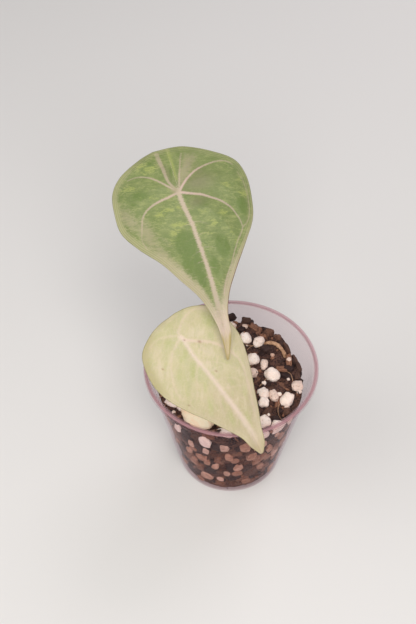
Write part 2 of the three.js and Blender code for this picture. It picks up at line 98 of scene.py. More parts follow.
# Potting mix: its surface, how many lumps lie in it, and how far from the axis they reach
MIX_LEVEL = 50
MIX_TILT = 2 / 30
MIX_LEAN = 0.05
MIX_HOLLOW = 2 / 900
MIX_SIDES = 200
MIX_RINGS = 56
MIX_LAYERS = 60
MIX_INSET = 0.65
CHIP_COUNT = 170
CHIP_REACH = 30.6
CHIP_INSET = 0.5
CHIP_UNDER_GRAIN = 1.1
FAR_CHIP_COUNT = 22
WALL_CHIP_COUNT = 260
WALL_CHIP_SINK = 0.6
CRUMB_COUNT = 420
CRUMB_REACH = 31
CRUMB_INSET = 0.42
SMALL_GRAIN_COUNT = 46
SMALL_GRAIN_REACH = 30
FIBRE_COUNT = 26
FIBRE_REACH = 28
FIBRE_RADIUS = 0.16

# Unevenness of the mix's fine stuff, coarse then fine, as (width, depth, seed)
MIX_ROUGHENING = [(2.6, 1.1, 3.1), (0.9, 0.35, 7.7)]

# Half sizes that lumps are drawn from, as (least, most) for length, width and thickness
CHIP_SIZES = ((1.5, 3.5), (1.1, 2.2), (0.6, 1.3))
FAR_CHIP_SIZES = ((1.6, 3), (1.4, 2.6), (0.7, 1.1))
CRUMB_SIZES = ((0.5, 1.3), (0.4, 0.9), (0.3, 0.7))

# How each kind of lump is formed, as (roundness, roughness). A roundness of 1 is a ball.
CHIP_FORM = (0.55, 0.3)
WALL_CHIP_FORM = (0.55, 0.28)
CRUMB_FORM = (0.7, 0.4)
GRAIN_FORM = (0.86, 0.26)
WALL_GRAIN_FORM = (0.88, 0.22)
SMALL_GRAIN_FORM = (0.85, 0.3)

# Perlite on the surface, as (x, y, half width, half length, turn, stain)
SURFACE_GRAINS = [
    (6.1, 22.2, 2.3, 3, 0.3, 0), (11.8, 20.6, 2.3, 2.7, -0.5, 0.18), (9.4, 10.8, 2.7, 2.8, 0.2, 0.1),
    (14.2, 10.1, 1.6, 2.6, 0, 0.4), (17.7, 3.7, 3.3, 3, -0.4, 0), (18.4, -6.4, 2, 3, 0.3, 0.5),
    (14, -5.3, 2.4, 2.5, 0.5, 0.05), (14.1, -10.2, 2.2, 2.4, 0, 0), (24.1, -9, 2.6, 3.3, -0.5, 0.15),
    (28.4, -0.6, 2.4, 2.7, 0, 0.42), (14.1, -20.9, 2.7, 2.9, 0.4, 0.1), (20.4, -23.4, 3.1, 3.4, 0, 0.1),
    (14.6, -27.6, 1.9, 2.4, 0, 0.2), (-24.3, -13.2, 3.2, 1.9, -0.5, 0), (-21, -14.6, 1.6, 1.5, -0.5, 0.1),
    (-1.9, -26.8, 3.4, 1.8, -0.35, 0.12), (9.5, 4.7, 2.1, 2.2, 0, 0.4), (-10, 20, 2.6, 2.4, 0.8, 0),
    (-22, 8, 2.4, 2, 0.4, 0.2), (-14, 26, 2, 2.2, 1.5, 0), (-26, 16, 2.2, 2, 0.5, 0.1),
    (0, 28.6, 2, 2.2, 0.6, 0.3), (-12, 8, 2.1, 1.8, 0.9, 0.1), (-8, -11, 2.2, 2.4, 1.3, 0),
    (4, 15.5, 1.8, 1.5, 0.9, 0.2),
]

# Perlite against the front of the wall, as (angle in degrees, height, half width, half height)
WALL_GRAINS = [
    (-110, 46.4, 2.8, 3.1), (-136, 45.2, 1.9, 2.3), (-124, 38.5, 1.4, 1.8), (-110, 37.7, 1.5, 1.8),
    (-94, 44, 2, 2.2), (-77, 43.2, 2.2, 2.7), (-70, 33.2, 2.2, 2.6), (-111, 25.7, 1.6, 1.9),
    (-103, 23.8, 1.7, 1.7), (-90, 34.5, 1.8, 2.3), (-81, 23.4, 2.1, 2.2), (-57, 18.1, 1.7, 1.9),
    (-33, 5, 1.8, 2.4), (-115, 10.6, 3.1, 2.3), (-92, 17.5, 1.4, 1.6), (-52, 33, 1.7, 1.9),
    (-41, 24.4, 1.9, 2.1), (-62, 42.5, 2.2, 2), (-129, 30, 1.6, 1.8), (-99, 11, 1.5, 1.4),
]
WALL_GRAIN_COUNT = 66

# Brown and tan lumps against the front of the wall, as WALL_GRAINS
WALL_LUMPS = [
    (-135, 22, 3.4, 5), (-74, 10.6, 3.4, 2.6), (-36, 30, 2.8, 2.4), (-98, 29.5, 2.4, 2.8),
    (-61, 25.5, 2.6, 2.2), (-122, 16, 2, 3), (-84, 38, 2.6, 2.4), (-47, 12, 2.6, 2.8),
    (-104, 5, 3.4, 1.9), (-149, 34, 2.4, 3.4), (-33, 40, 2.4, 3), (-66, 4.5, 3, 1.8),
]

# Stems, stone and surface root, which chips and grains stay clear of, as (x, y, radius)
KEPT_CLEAR = [
    (-1.6, 3, 3.6), (1, -3.2, 3), (-16, -17.6, 5), (-11, -21.2, 5), (14, 20.7, 1.8),
    (18.4, 19.8, 1.6), (23.2, 15.6, 1.8),
]

# Large pale stone and the surface root
STONE_CENTRE = (-13.5, -19.5, 50.7)
STONE_HALF = (8, 5, 3.7)
STONE_TURN = -0.6
SURFACE_ROOT_RADIUS = 1
SURFACE_ROOT_PATH = [
    (12.8, 20.9, 48), (14.8, 20.6, 51.6), (18.2, 19.9, 53.2),
    (21.2, 17.9, 52.8), (23.2, 15.6, 50.6), (23.9, 14.4, 47),
]

# Unevenness of the stone, coarse to fine, as (depth, frequency)
STONE_SWELL = [(0.16, 1.1), (0.06, 3), (0.02, 9)]

# Corm and roots
CORM_TOP = 45.5
CORM_RADIUS = 6.6
CORM_HEIGHT = 14
ROOT_COUNT = 7
ROOT_RADIUS = 0.9

# Blades: thickness and edge, and how deep and wide the rib and the veins are
BLADE_THICKNESS = 0.9
BLADE_MARGIN_THINNING = 0.1
EDGE_ROUNDING = 0.6
RIB_DEPTH = 0.9
RIB_HALF_WIDTH = 1.1
RIB_GROOVE = 0.16
RIB_GROOVE_HALF_WIDTH = 0.9
VEIN_DEPTH = 0.32
VEIN_GROOVE = 0.1
VEIN_HALF_WIDTH = 0.55
VEIN_REACH = 4.5
QUILT = 0.07
BRUSH_TURN = 0.27
BLADE_TONE = 0.85

# Veins that show, as (points, width at the start, width at the end, strength at each)
UPPER_VEINS = [
    ([(1.1, 0), (2.1, 2.4), (3.2, 5.2), (4.4, 8.2), (6.2, 11), (7.8, 13.6), (9.8, 15.7),
      (12, 17.3), (14.7, 18.4), (17, 19.1), (19.8, 19.3)], 0.95, 0.3, 0.95, 0.45),
    ([(19.8, 19.3), (21.9, 18), (24.3, 16), (27.7, 13.8), (31.5, 11.6), (35.2, 8.9),
      (38.5, 6.9), (42.1, 5.4)], 0.25, 0.4, 0.5, 0.5),
    ([(19.8, 19.3), (18.7, 21), (16.8, 22.6), (13.9, 23.6), (10.2, 24.2), (6.4, 24.5),
      (2.5, 24.2), (-1, 23.2)], 0.3, 0.12, 0.5, 0.3),
    ([(1.1, 0), (-1.8, 2.9), (-3.6, 5.2), (-5.2, 8), (-6.1, 10.9), (-6.6, 13.9), (-6.8, 16.4),
      (-6.5, 19.1), (-5.4, 21.1), (-4.2, 22.2)], 0.85, 0.2, 0.95, 0.42),
    ([(1.1, 0), (-0.9, 0.7), (-4.3, 1.7), (-8.9, 3.2), (-11.3, 4), (-13.4, 4.9)],
     0.6, 0.5, 0.65, 0.25),
    ([(1.1, 0), (-3.2, -2.5), (-6.1, -3.1), (-8.9, -3.3), (-12.5, -3.8), (-15.6, -4.2)],
     0.65, 1.6, 0.56, 0.3),
    ([(1.1, 0), (-1.8, -3), (-4.2, -5.3), (-6.3, -7.6), (-7.9, -9.9), (-9, -12.6),
      (-9.4, -15), (-9.3, -17.5)], 0.7, 0.25, 0.75, 0.4),
    ([(1.1, 0), (1.9, -4.2), (2.3, -7.5), (3, -10.8), (4.3, -13.7), (6.4, -15.8), (8.9, -16.8),
      (11.6, -17.7), (14.5, -18.4), (18, -17.4)], 0.9, 0.2, 0.85, 0.35),
    ([(13.1, 1.5), (13.6, 3.2), (14.1, 4.9), (15.6, 7.4)], 0.35, 0.05, 0.5, 0.2),
    ([(23.2, 2.2), (23.5, 4.2), (23.8, 6), (25, 7.6)], 0.35, 0.05, 0.5, 0.2),
    ([(30.6, 2.4), (31.2, 4), (31.9, 5.6)], 0.35, 0.05, 0.55, 0.22),
    ([(18.6, 1.9), (18.4, 3.6), (18.3, 5.2), (19.6, 7)], 0.3, 0.05, 0.4, 0.16),
    ([(7.6, 0.4), (8.2, 2.6), (8.6, 4.4)], 0.25, 0.05, 0.3, 0.12),
    ([(13.6, 1.4), (13.7, -0.6), (13.9, -3.2)], 0.35, 0.1, 0.45, 0.18),
    ([(28.2, 2.2), (28.1, 0.4), (28.6, -1.6)], 0.35, 0.05, 0.5, 0.2),
    ([(24.3, 2), (24.6, 0), (25.3, -1.9), (27, -3.4)], 0.3, 0.05, 0.4, 0.16),
    ([(18.9, 1.8), (19.2, -0.6), (20.4, -3)], 0.3, 0.05, 0.25, 0.1),
    ([(34.6, 2.4), (35.2, 3.8), (36.2, 5)], 0.3, 0.05, 0.4, 0.16),
    ([(33.6, 2.4), (34.2, 0.6), (35.6, -0.8)], 0.3, 0.05, 0.4, 0.16),
]
UPPER_MIDRIB = [
    (0.2, 0), (1.4, -0.1), (6, 0.2), (10.4, 0.9), (14.4, 1.5), (18.6, 1.8), (23.3, 2), (27.4, 2.3),
    (30.1, 2.3), (35.4, 2.4), (39.4, 2.3), (43.4, 2.2), (48, 2), (52, 1.7), (56, 1.4),
    (60.8, 0.6), (65, -0.1),
]
LOWER_VEINS = [
    ([(0, -0.6), (1.8, 0), (5.2, 4.5), (7.6, 7.6), (10.7, 10.3), (15.2, 12.6), (21, 13.6),
      (29, 11.6), (35.3, 9.3), (41.5, 6.8)], 1, 0.3, 0.9, 0.42),
    ([(0, -0.6), (-2, -0.4), (-4.3, 2.2), (-6, 5.6), (-6.2, 9.6), (-5, 12.6)], 0.7, 0.5, 0.6, 0.36),
    ([(0, -0.6), (-1.1, -1.6), (-2.4, -4.2), (-3.7, -7.4), (-3.9, -10.2), (-2.8, -13.3)],
     0.6, 0.5, 0.45, 0.27),
    ([(0, -0.6), (2.8, -5.7), (6.6, -9.4), (11.1, -11.8), (16.2, -13.6), (20.5, -13.4)],
     0.7, 0.7, 0.5, 0.3),
    ([(12, -0.4), (15.1, -3.3), (19.4, -5.9), (23.8, -8.5)], 0.5, 0.6, 0.35, 0.21),
    ([(19, 0.8), (22.2, -1.6), (26.8, -4), (31.2, -4.3)], 0.4, 0.4, 0.3, 0.18),
    ([(23, 1.1), (26.7, 0.4), (31, -2.1), (35, -3.1)], 0.4, 0.3, 0.25, 0.15),
    ([(25.1, 1.8), (26.7, 5.3), (28.4, 8.8)], 0.25, 0.2, 0.4, 0.24),
    ([(31.5, 2.3), (31.9, 5.1), (33.1, 8.1)], 0.25, 0.2, 0.4, 0.24),
    ([(21.3, 1.4), (22.6, 4.9), (24.6, 8.3)], 0.25, 0.2, 0.35, 0.21),
    ([(12.5, 0), (15, 5), (20, 9.4), (24, 12)], 0.3, 0.2, 0.35, 0.21),
]
LOWER_MIDRIB = [
    (0, -0.7), (2.1, -0.4), (8.4, -0.5), (14.2, 0.3), (20.4, 1), (25.6, 1.4), (32.1, 1.9),
    (38.5, 2.3), (45.1, 2.5), (51.1, 1.9), (54.6, 1.4),
]

# Mottles of the upper blade, the grey ones partly painted sheen, as (x, y, half length, half width, turn
# in degrees, strength)
UPPER_YELLOW = [
    (12.8, -3, 3.2, 1.3, 76, 1), (15.5, -6.3, 2.8, 1.4, 120, 0.9), (18.5, -8, 2.2, 1.2, 120, 0.5),
    (6.5, -6, 4.5, 1.2, 85, 0.75), (7.5, -9.2, 3.5, 1.6, 85, 0.65), (2.7, 17.5, 2.3, 1.2, 74, 0.85),
    (7.8, 23.1, 2.2, 1.6, 60, 0.8), (15.8, 9.8, 2.6, 1.4, 74, 0.8), (12.9, 13.6, 3, 1.5, 74, 0.75),
    (18.6, 5.9, 3, 1, 80, 0.55), (-10.6, -8.6, 4, 1.8, 84, 0.85), (-13.2, -11.8, 3.5, 1.3, 84, 0.75),
    (-5.9, -17.4, 4, 1.8, 74, 0.75), (1.3, 22.3, 2.5, 1.8, 60, 0.55), (21.9, 12.8, 3, 1.2, 74, 0.35),
    (24.3, 16.4, 2.4, 1.4, 100, 0.75), (20.8, 14.5, 2.4, 1.5, 90, 0.55), (0, -11, 4, 1.2, 78, 0.5),
    (10, 6, 3.4, 0.9, 74, 0.4),
]
UPPER_GREY_SHEEN = [
    (-0.6, 8, 3.6, 6.5, 0, 0.6), (6.5, 5.5, 2, 3.6, 0, 0.55), (-4.6, 9.2, 2.6, 2.4, 0, 0.5),
    (-8, 6.6, 3.4, 1.6, 146, 0.35), (-7, -2.2, 4.4, 1.2, 10, 0.45),
]
UPPER_STRIPE = [(-17, 0.2), (-12.6, 0.3), (-8.9, 0.6), (-6.2, 0.5), (-3.9, 0.5)]
UPPER_DARK = [
    (20.6, -2.8, 6, 4.6, 0, 1), (27.6, -2.6, 6.5, 4.2, 0, 1), (7.2, 6.4, 4.5, 2.8, 74, 0.7),
    (11.9, 21.4, 5, 2.6, 0, 0.75), (-12.8, -7.9, 1.6, 1.8, 0, 0.6), (-1.7, -14.4, 5, 2.3, 74, 0.7),
    (24.6, 10.2, 5.5, 3.2, 0, 0.85), (34.2, -0.8, 4.5, 2.2, 0, 0.8), (31, 5.4, 5, 2.4, 0, 0.7),
    (0.5, -17.7, 3, 1.6, 74, 0.5), (-6.4, -1.1, 3.6, 0.8, 170, 0.8), (2, -9, 4, 1.6, 74, 0.4),
]
UPPER_PALE = [
    (5.2, -21.1, 7, 3.4, 30, 0.85), (12.9, -15.8, 7.5, 3.3, 15, 0.95), (21.7, -12.4, 7, 2.6, 25, 0.9),
    (27.3, -8, 4, 1.6, 25, 0.6), (-6.4, 4.4, 6.4, 2.1, 146, 1.1), (-10, 6.8, 4, 3, 120, 0.8),
    (-11.6, -4, 4, 1.2, 10, 0.6), (8, -20, 4, 2.6, 60, 0.6), (18, -9.6, 4, 1.6, 30, 0.5),
    (-7, -18.6, 3, 2, 60, 0.4),
]

# Clouds of the lower blade, in the same way
LOWER_GREEN = [
    (13.3, -3.5, 5, 1.8, -30, 0.8), (6.4, -2.6, 4.5, 1.4, -45, 0.7), (-6.6, -2.5, 2.4, 3.4, 0, 0.6),
    (0.5, 12.2, 5, 3.4, 20, 0.8), (17.2, 8.5, 4, 2, 30, 0.5), (25.2, 6.6, 5, 1.8, 10, 0.6),
    (-0.6, -6.1, 2.4, 2.6, 0, 0.7), (28.2, -5, 6, 1.6, -28, 0.7), (36.5, -0.9, 5, 1.5, -15, 0.7),
    (11.6, -8.6, 5, 1.6, -35, 0.6), (31, 8.6, 5, 1.4, -14, 0.5), (19.7, -10.1, 5, 1.4, -28, 0.5),
    (40.5, 4.4, 5, 1.4, -10, 0.6), (21, -3, 4, 1.2, -30, 0.6), (-4.2, -9, 4, 4, 0, 0.6),
    (7.4, -11.8, 4, 2.4, -30, 0.5), (7.4, -5.2, 4, 1.3, -45, 0.55),
]
LOWER_PALE = [
    (2.5, 6.6, 3.4, 3.4, 0, 0.7), (42.5, 2.2, 7, 1.2, -8, 0.6), (5.2, -13.9, 5, 2, -25, 0.8),
    (1.3, -12.8, 3, 1.6, -40, 0.5), (1.4, 4, 3.5, 3, 30, 0.6), (10.5, 5, 6, 3, 25, 0.8),
    (22.7, -5.6, 5, 1, -30, 0.5), (35, 6.4, 5, 1.2, -12, 0.5), (15.6, -15.6, 5, 1.8, 0, 0.7),
    (23.2, 10.7, 4, 1.6, 10, 0.5), (8, -11.6, 5, 1, -40, 0.7), (15.5, 2.9, 5, 1.7, 10, 0.8),
]
LOWER_SPECKS = [
    (1.8, -0.2, 0.45, 0.3, 35, 0.65), (5.4, 4.4, 0.75, 0.5, 35, 0.65),
    (6.7, -13.3, 0.45, 0.3, 35, 0.65), (18.4, 3.7, 0.525, 0.35, 35, 0.65),
    (23.9, -12.4, 0.45, 0.3, 35, 0.65),
]

# The leaves, each in its own axes: x along it from the hub towards the tip, y across it to the
# right. Rows run from the back margin to the tip as (left, midrib, right) points. Relief veins
# are those that the skin sinks towards.
UPPER = {
    "hub": (-21.2, 9.8, 154),
    "heading": -69,
    "pitch": 33,
    "roll": 13.6,
    "rows": [
        ((-17.3, -5.4), (-17.2, -2), (-17, 1.5)),
        ((-15.7, -11.4), (-14.8, -1.2), (-15.9, 7)),
        ((-11.8, -19.9), (-9.2, -0.5), (-11.8, 15.5)),
        ((-6.3, -24.6), (-3.6, -0.1), (-6.3, 23.4)),
        ((1.4, -25.9), (2, 0.1), (0.6, 26.1)),
        ((9.1, -25.4), (8.2, 0.3), (8.8, 25.9)),
        ((16.7, -20.7), (15.3, 1.3), (17.5, 23.9)),
        ((24.6, -13.9), (22.9, 1.8), (25.7, 18.6)),
        ((32.5, -8.8), (31.4, 2), (33.9, 12.7)),
        ((40.2, -3.9), (39.7, 1.8), (41.4, 7.8)),
        ((47.8, -1.2), (47.3, 1.8), (48.7, 5)),
        ((55.5, 0), (55.5, 1.7), (56.3, 3.9)),
        ((64.8, -0.6), (65.1, -0.2), (64.9, 0.3)),
    ],
    "relief_veins": [
        [(0, 0), (2.6, 7.7), (5.8, 12.6), (10.4, 16.2), (15.2, 17.9), (19.6, 18.2)],
        [(0, 0), (-4.2, 3.8), (-6.7, 8.5), (-8.5, 12.9), (-8.3, 17.6)],
        [(0, 0), (-6.1, 1.3), (-11.4, 3.3), (-14, 4.8)],
        [(0, 0), (-5.8, -1.5), (-11.1, -2.3), (-15.1, -2.6)],
        [(0, 0), (-4.5, -3.9), (-7, -7), (-8.8, -10.4), (-9.3, -17.3)],
        [(0, 0), (0.5, -5.4), (4.2, -12.4), (11, -15.6), (15.6, -17.4)],
        [(10, 0.5), (16, 7), (24.5, 13.5)],
        [(18, 1.5), (24, 6.5), (32, 10.5)],
        [(10, 0.5), (15.5, -6), (21, -12.5)],
        [(18, 1.5), (24, -3.5), (29, -8)],
    ],
    "back_bend": 0.012,
    "tip_bend": 0.0048,
    "side_bend": 0.009,
    "puff": 0.9,
    "beak_start": 42,
    "beak_fold": 0.45,
    "row_count": 250,
    "column_count": 88,
    "midrib": UPPER_MIDRIB,
    "veins": UPPER_VEINS,
    "zones": {
        "yellow": UPPER_YELLOW, "grey": UPPER_GREY_SHEEN, "dark": UPPER_DARK, "pale": UPPER_PALE,
    },
}
LOWER = {
    "hub": (-19, -21.6, 106.3),
    "heading": -49.4,
    "pitch": 31,
    "roll": 23.6,
    "rows": [
        ((-8.9, -1), (-9.2, 2), (-8.9, 5.8)),
        ((-8.5, -5.8), (-7.7, 1.2), (-7.7, 9.8)),
        ((-6.5, -11.5), (-4.6, 0.3), (-4.9, 14.3)),
        ((-2.2, -17.3), (-1, -0.1), (-0.6, 17)),
        ((4.7, -19.6), (3.5, -0.2), (5, 18.5)),
        ((11.6, -19.9), (9.6, -0.4), (11.6, 19)),
        ((18.7, -18), (16.7, 0.2), (18.6, 17.5)),
        ((25.9, -14.1), (23.7, 1), (25.8, 15.1)),
        ((32.4, -9.8), (30.8, 1.7), (32.5, 12.4)),
        ((39.4, -5.7), (38.2, 2), (39.6, 9.7)),
        ((45.7, -2.2), (44.9, 2.1), (46.3, 6.8)),
        ((50.8, -1), (50.5, 1.9), (51.7, 4.9)),
        ((55.3, 0.7), (55.5, 1.4), (55.3, 2.1)),
    ],
    "relief_veins": [
        [(0, 0), (5, 5), (8.2, 8.2), (12, 11), (20, 13)],
        [(0, 0), (-3.8, 3.9), (-5, 8.5), (-5, 11.6)],
        [(0, 0), (-2.8, -5.8), (-4.1, -10.2), (-3.9, -13.1)],
        [(0, 0), (3.9, -6), (8.6, -10.2), (16.5, -14.4)],
        [(12, 0.1), (18, -4.3), (24, -8)],
        [(12, 0.1), (18, 6), (28, 9)],
    ],
    "back_bend": 0.028,
    "tip_bend": 0.0052,
    "side_bend": 0.011,
    "puff": 0.7,
    "beak_start": 42,
    "beak_fold": 0.4,
    "row_count": 220,
    "column_count": 80,
    "midrib": LOWER_MIDRIB,
    "veins": LOWER_VEINS,
    "zones": {"green": LOWER_GREEN, "pale": LOWER_PALE, "speck": LOWER_SPECKS},
}

# Petioles: path from the crown to a point under the hub, and radii
UPPER_PETIOLE = {
    "path": [(-1.6, 2.6, CORM_TOP + GAP), (-1.6, 3.4, 62), (-4, 7, 92), (-11, 11, 125)],
    "base_radius": 3,
    "top_radius": 1.7,
}
LOWER_PETIOLE = {
    "path": [(1.2, -2.9, CORM_TOP + GAP), (0.5, -4.5, 60), (-4.5, -10, 80)],
    "base_radius": 2.4,
    "top_radius": 1.4,
}
HUB_FLARE = 1.35
PETIOLE_SIDES = 40
PETIOLE_RINGS = 150

# Camera: where the eye is, the way it looks, its lens and its picture's height in millimetres
CAMERA_PLACE = (0, -344, 491.1)
CAMERA_FORWARD = (-0.01854, 0.65639, -0.7542)
CAMERA_LENS = 75.25
CAMERA_SENSOR = 36
CAMERA_NEAR = 0.01

# Lamps in metres, as (name, place, width and height, power, colour), all aimed at one point
LAMP_TARGET = (0, 0, 0.07)
LAMPS = [
    ("key", (0.04, -0.6, 0.82), (0.5, 0.5), 8.1, (1, 0.97, 0.94)),
    ("fill", (-0.65, -0.2, 0.55), (0.6, 0.6), 1.9, (1, 0.98, 0.96)),
    ("back", (0.4, 0.6, 0.5), (0.5, 0.35), 1.9, (1, 0.95, 0.99)),
]
SKY_COLOUR = (0.9, 0.9, 0.92, 1)
SKY_STRENGTH = 0.3
FLOOR_HALF = 3


def seeded_draw(seed):
    """A draw between two values that is the same on every run."""
    state = seed

    def draw(low, high):
        nonlocal state
        state = (state * DRAW_FACTOR) % DRAW_MODULUS
        return low + (high - low) * (state / DRAW_MODULUS)

    return draw


def ease(low, high, value):
    """Smooth change from 0 to 1 as value goes from low to high, which may be the lesser."""
    share = np.clip((value - low) / (high - low), 0, 1)
    return share * share * (3 - 2 * share)


def linear_colour(screen):
    """A colour given as 0 to 255 screen values, as the linear colour that shaders take."""
    shares = [value / 255 for value in screen]
    return (*[v / 12.92 if v <= 0.04045 else ((v + 0.055) / 1.055) ** 2.4 for v in shares], 1)


def polar(radius, angle):
    return radius * math.cos(angle), radius * math.sin(angle)


def circle(radius, sides):
    return [polar(radius, side * FULL_TURN / sides) for side in range(sides)]


def spline(points, places):
    """Catmull-Rom curve through points, at places from 0 to 1."""
    points = np.asarray(points, float)
    count = len(points)
    at = (count - 1) * np.asarray(places, float)
    index = np.minimum(np.floor(at).astype(int), count - 1)
    w = (at - index)[:, None]
    p0 = points[np.where(index == 0, index, index - 1)]
    p1 = points[index]
    p2 = points[np.minimum(index + 1, count - 1)]
    p3 = points[np.minimum(index + 2, count - 1)]
    v0 = (p2 - p0) / 2
    v1 = (p3 - p1) / 2
    cubic = (2 * p1 - 2 * p2 + v0 + v1) * w**3
    square = (-3 * p1 + 3 * p2 - 2 * v0 - v1) * w**2
    return cubic + square + v0 * w + p1


def add_piece(name, slot, points, faces, material):
    """A mesh object from points in millimetres, riding on the pot."""
    mesh = bpy.data.meshes.new(name)
    mesh.from_pydata((np.asarray(points, float) * MM).tolist(), [], faces)
    mesh.update()
    mesh.polygons.foreach_set("use_smooth", [True] * len(mesh.polygons))
    mesh.materials.append(material)
    piece = add_object(name, mesh)
    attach(piece, "root")
    return piece


def add_object(name, data):
    made = bpy.data.objects.new(name, data)
    bpy.context.scene.collection.objects.link(made)
    return made


def add_values(piece, name, values):
    """A number for each point of a piece's mesh, for its material to read."""
    field = piece.data.attributes.new(name, "FLOAT", "POINT")
    field.data.foreach_set("value", np.asarray(values, np.float32))


def add_vectors(piece, name, values):
    """Three numbers for each point of a piece's mesh, for its material to read."""
    field = piece.data.attributes.new(name, "FLOAT_VECTOR", "POINT")
    field.data.foreach_set("vector", np.asarray(values, np.float32).ravel())


def joined(parts):
    """One set of points and faces from several."""
    points = []
    faces = []
    for part_points, part_faces in parts:
        first = len(points)
        points += list(part_points)
        faces += [tuple(corner + first for corner in face) for face in part_faces]
    return points, faces


def skin(rings):
    """Faces between rings of point numbers. A ring of one number throughout is a pole."""
    faces = []
    for below, above in zip(rings[:-1], rings[1:]):
        turned_below = below[1:] + below[:1]
        turned_above = above[1:] + above[:1]
        quads = zip(below, turned_below, turned_above, above)
        faces += [tuple(dict.fromkeys(corners)) for corners in quads]
    return faces


class Term:
    """A value that a material's nodes work out. Sums of terms make more nodes."""

    def __init__(self, graph, socket):
        self.graph = graph
        self.socket = socket

    def __abs__(self):
        return self.graph.math("ABSOLUTE", self)

    def __add__(self, other):
        return self.graph.math("ADD", self, other)

    def __sub__(self, other):
        return self.graph.math("SUBTRACT", self, other)

    def __rsub__(self, other):
        return self.graph.math("SUBTRACT", other, self)

    def __mul__(self, other):
        return self.graph.math("MULTIPLY", self, other)

    def __truediv__(self, other):
        return self.graph.math("DIVIDE", self, other)

    def __pow__(self, other):
        return self.graph.math("POWER", self, other)


class Graph:
    """A material's nodes, with the colour that its coats have built up so far."""

    def __init__(self, name, place=None):
        self.material = bpy.data.materials.new(name)
        self.material.use_nodes = True
        self.tree = self.material.node_tree
        self.tree.nodes.clear()
        self.output = self.tree.nodes.new("ShaderNodeOutputMaterial")
        self.place = self.vector(place) if place else self.node("ShaderNodeTexCoord", "Object", {})
        self.colour = None

    def plug(self, value, socket):
        if isinstance(value, Term):
            self.tree.links.new(value.socket, socket)
        else:
            socket.default_value = value

    def node(self, kind, output, values, **settings):
        """Adds a node and gives one of its outputs."""
        made = self.tree.nodes.new(kind)
        for key, value in settings.items():
            setattr(made, key, value)
        for key, value in values.items():
            self.plug(value, made.inputs[key])
        return Term(self, made.outputs[output])

    def value(self, name):
        return self.node("ShaderNodeAttribute", "Fac", {}, attribute_name=name)

    def vector(self, name):
        return self.node("ShaderNodeAttribute", "Vector", {}, attribute_name=name)

    def math(self, operation, first, second=0):
        return self.node("ShaderNodeMath", 0, {0: first, 1: second}, operation=operation)

    def step(self, value, low, high, start=0, end=1):
        """Smooth change from start to end as value goes from low to high."""
        values = {"Value": value, "From Min": low, "From Max": high, "To Min": start, "To Max": end}
        return self.node("ShaderNodeMapRange", "Result", values, interpolation_type="SMOOTHSTEP")

    def mix(self, share, *colours):
        """Mix of two colours, each worked out or given as screen values from 0 to 255."""
        first, second = (c if isinstance(c, Term) else linear_colour(c) for c in colours)
        values = {0: share, 6: first, 7: second}
        return self.node("ShaderNodeMix", 2, values, data_type="RGBA")

    def coat(self, share, colour):
        """Lays a colour over the colour so far."""
        self.colour = self.mix(share, self.colour, colour)

    def dim(self, share):
        """Darkens the colour so far."""
        values = {0: 1, 6: self.colour, 7: (share, share, share, 1)}
        self.colour = self.node("ShaderNodeMix", 2, values, data_type="RGBA", blend_type="MULTIPLY")

    def laid(self, scale, turn=0, place=None):
        """Where a texture lies: turned about Z, and with three numbers of scale also stretched."""
        place = place or self.place
        if turn:
            values = {"Vector": place, "Angle": turn}
            place = self.node("ShaderNodeVectorRotate", "Vector", values)
        if isinstance(scale, tuple):
            values = {"Vector": place, "Scale": scale}
            place = self.node("ShaderNodeMapping", "Vector", values)
            scale = 1
        return {"Vector": place, "Scale": scale}

    def noise(self, scale, detail=3, roughness=0.55, distortion=0, **lay):
        values = self.laid(scale, **lay)
        values |= {"Detail": detail, "Roughness": roughness, "Distortion": distortion}
        return self.node("ShaderNodeTexNoise", "Fac", values)

    def cells(self, scale, feature="F1"):
        return self.node("ShaderNodeTexVoronoi", "Distance", self.laid(scale), feature=feature)

    def bump(self, height, depth, strength=1, under=None):
        """Relief, depth in metres, on top of the relief under it."""
        values = {"Height": height, "Distance": depth, "Strength": strength}
        if under is not None:
            values["Normal"] = under
        return self.node("ShaderNodeBump", "Normal", values)

    def shader(self, kind, **values):
        """A shader. Names are its sockets', with _ for a space."""
        values = {key.replace("_", " "): value for key, value in values.items()}
        return self.node(kind, 0, values)

    def blend(self, share, first, second):
        return self.node("ShaderNodeMixShader", 0, {0: share, 1: first, 2: second})

    def finish(self, **values):
        """The main shader in the colour so far."""
        return self.finish_with(
            self.shader("ShaderNodeBsdfPrincipled", Base_Color=self.colour, **values))

    def finish_with(self, shader):
        self.plug(shader, self.output.inputs["Surface"])
        return self.material


def soft_glow(weight, radius):
    """How far light goes under a skin, for the main shader."""
    return {"Subsurface_Weight": weight, "Subsurface_Radius": radius, "Subsurface_Scale": MM}


def underside(g, vein, mid, colours):
    """Dull lower face of a blade from its ground, vein and rib colours."""
    ground, vein_colour, rib_colour = colours
    below = g.mix(g.step(vein, -0.2, 0.6, 0.7, 0), ground, vein_colour)
    return g.mix(g.step(mid, -0.2, 0.8, 0.8, 0), below, rib_colour)


def finish_blade(g, below, net, net_depth, glow):
    """Lays the underside on, and a fine grain over the net's relief."""
    g.coat(g.step(g.value("under"), 0.4, 0.6), below)
    g.dim(BLADE_TONE)
    grain = g.noise(5, 3, 0.6)
    relief = g.bump(grain, 0.00003, 0.6, g.bump(net, net_depth, 0.5))
    rough = g.step(grain, 0.3, 0.7, 0.52, 0.64)
    return g.finish(Roughness=rough, Normal=relief, Specular_IOR_Level=0.3, **glow)


def blade_terms(g):
    """Distances that the margin and the veins are painted by, all in millimetres."""
    mid = abs(g.value("mid_side")) - g.value("mid_half")
    return g.value("edge_gap"), g.value("vein_gap"), mid


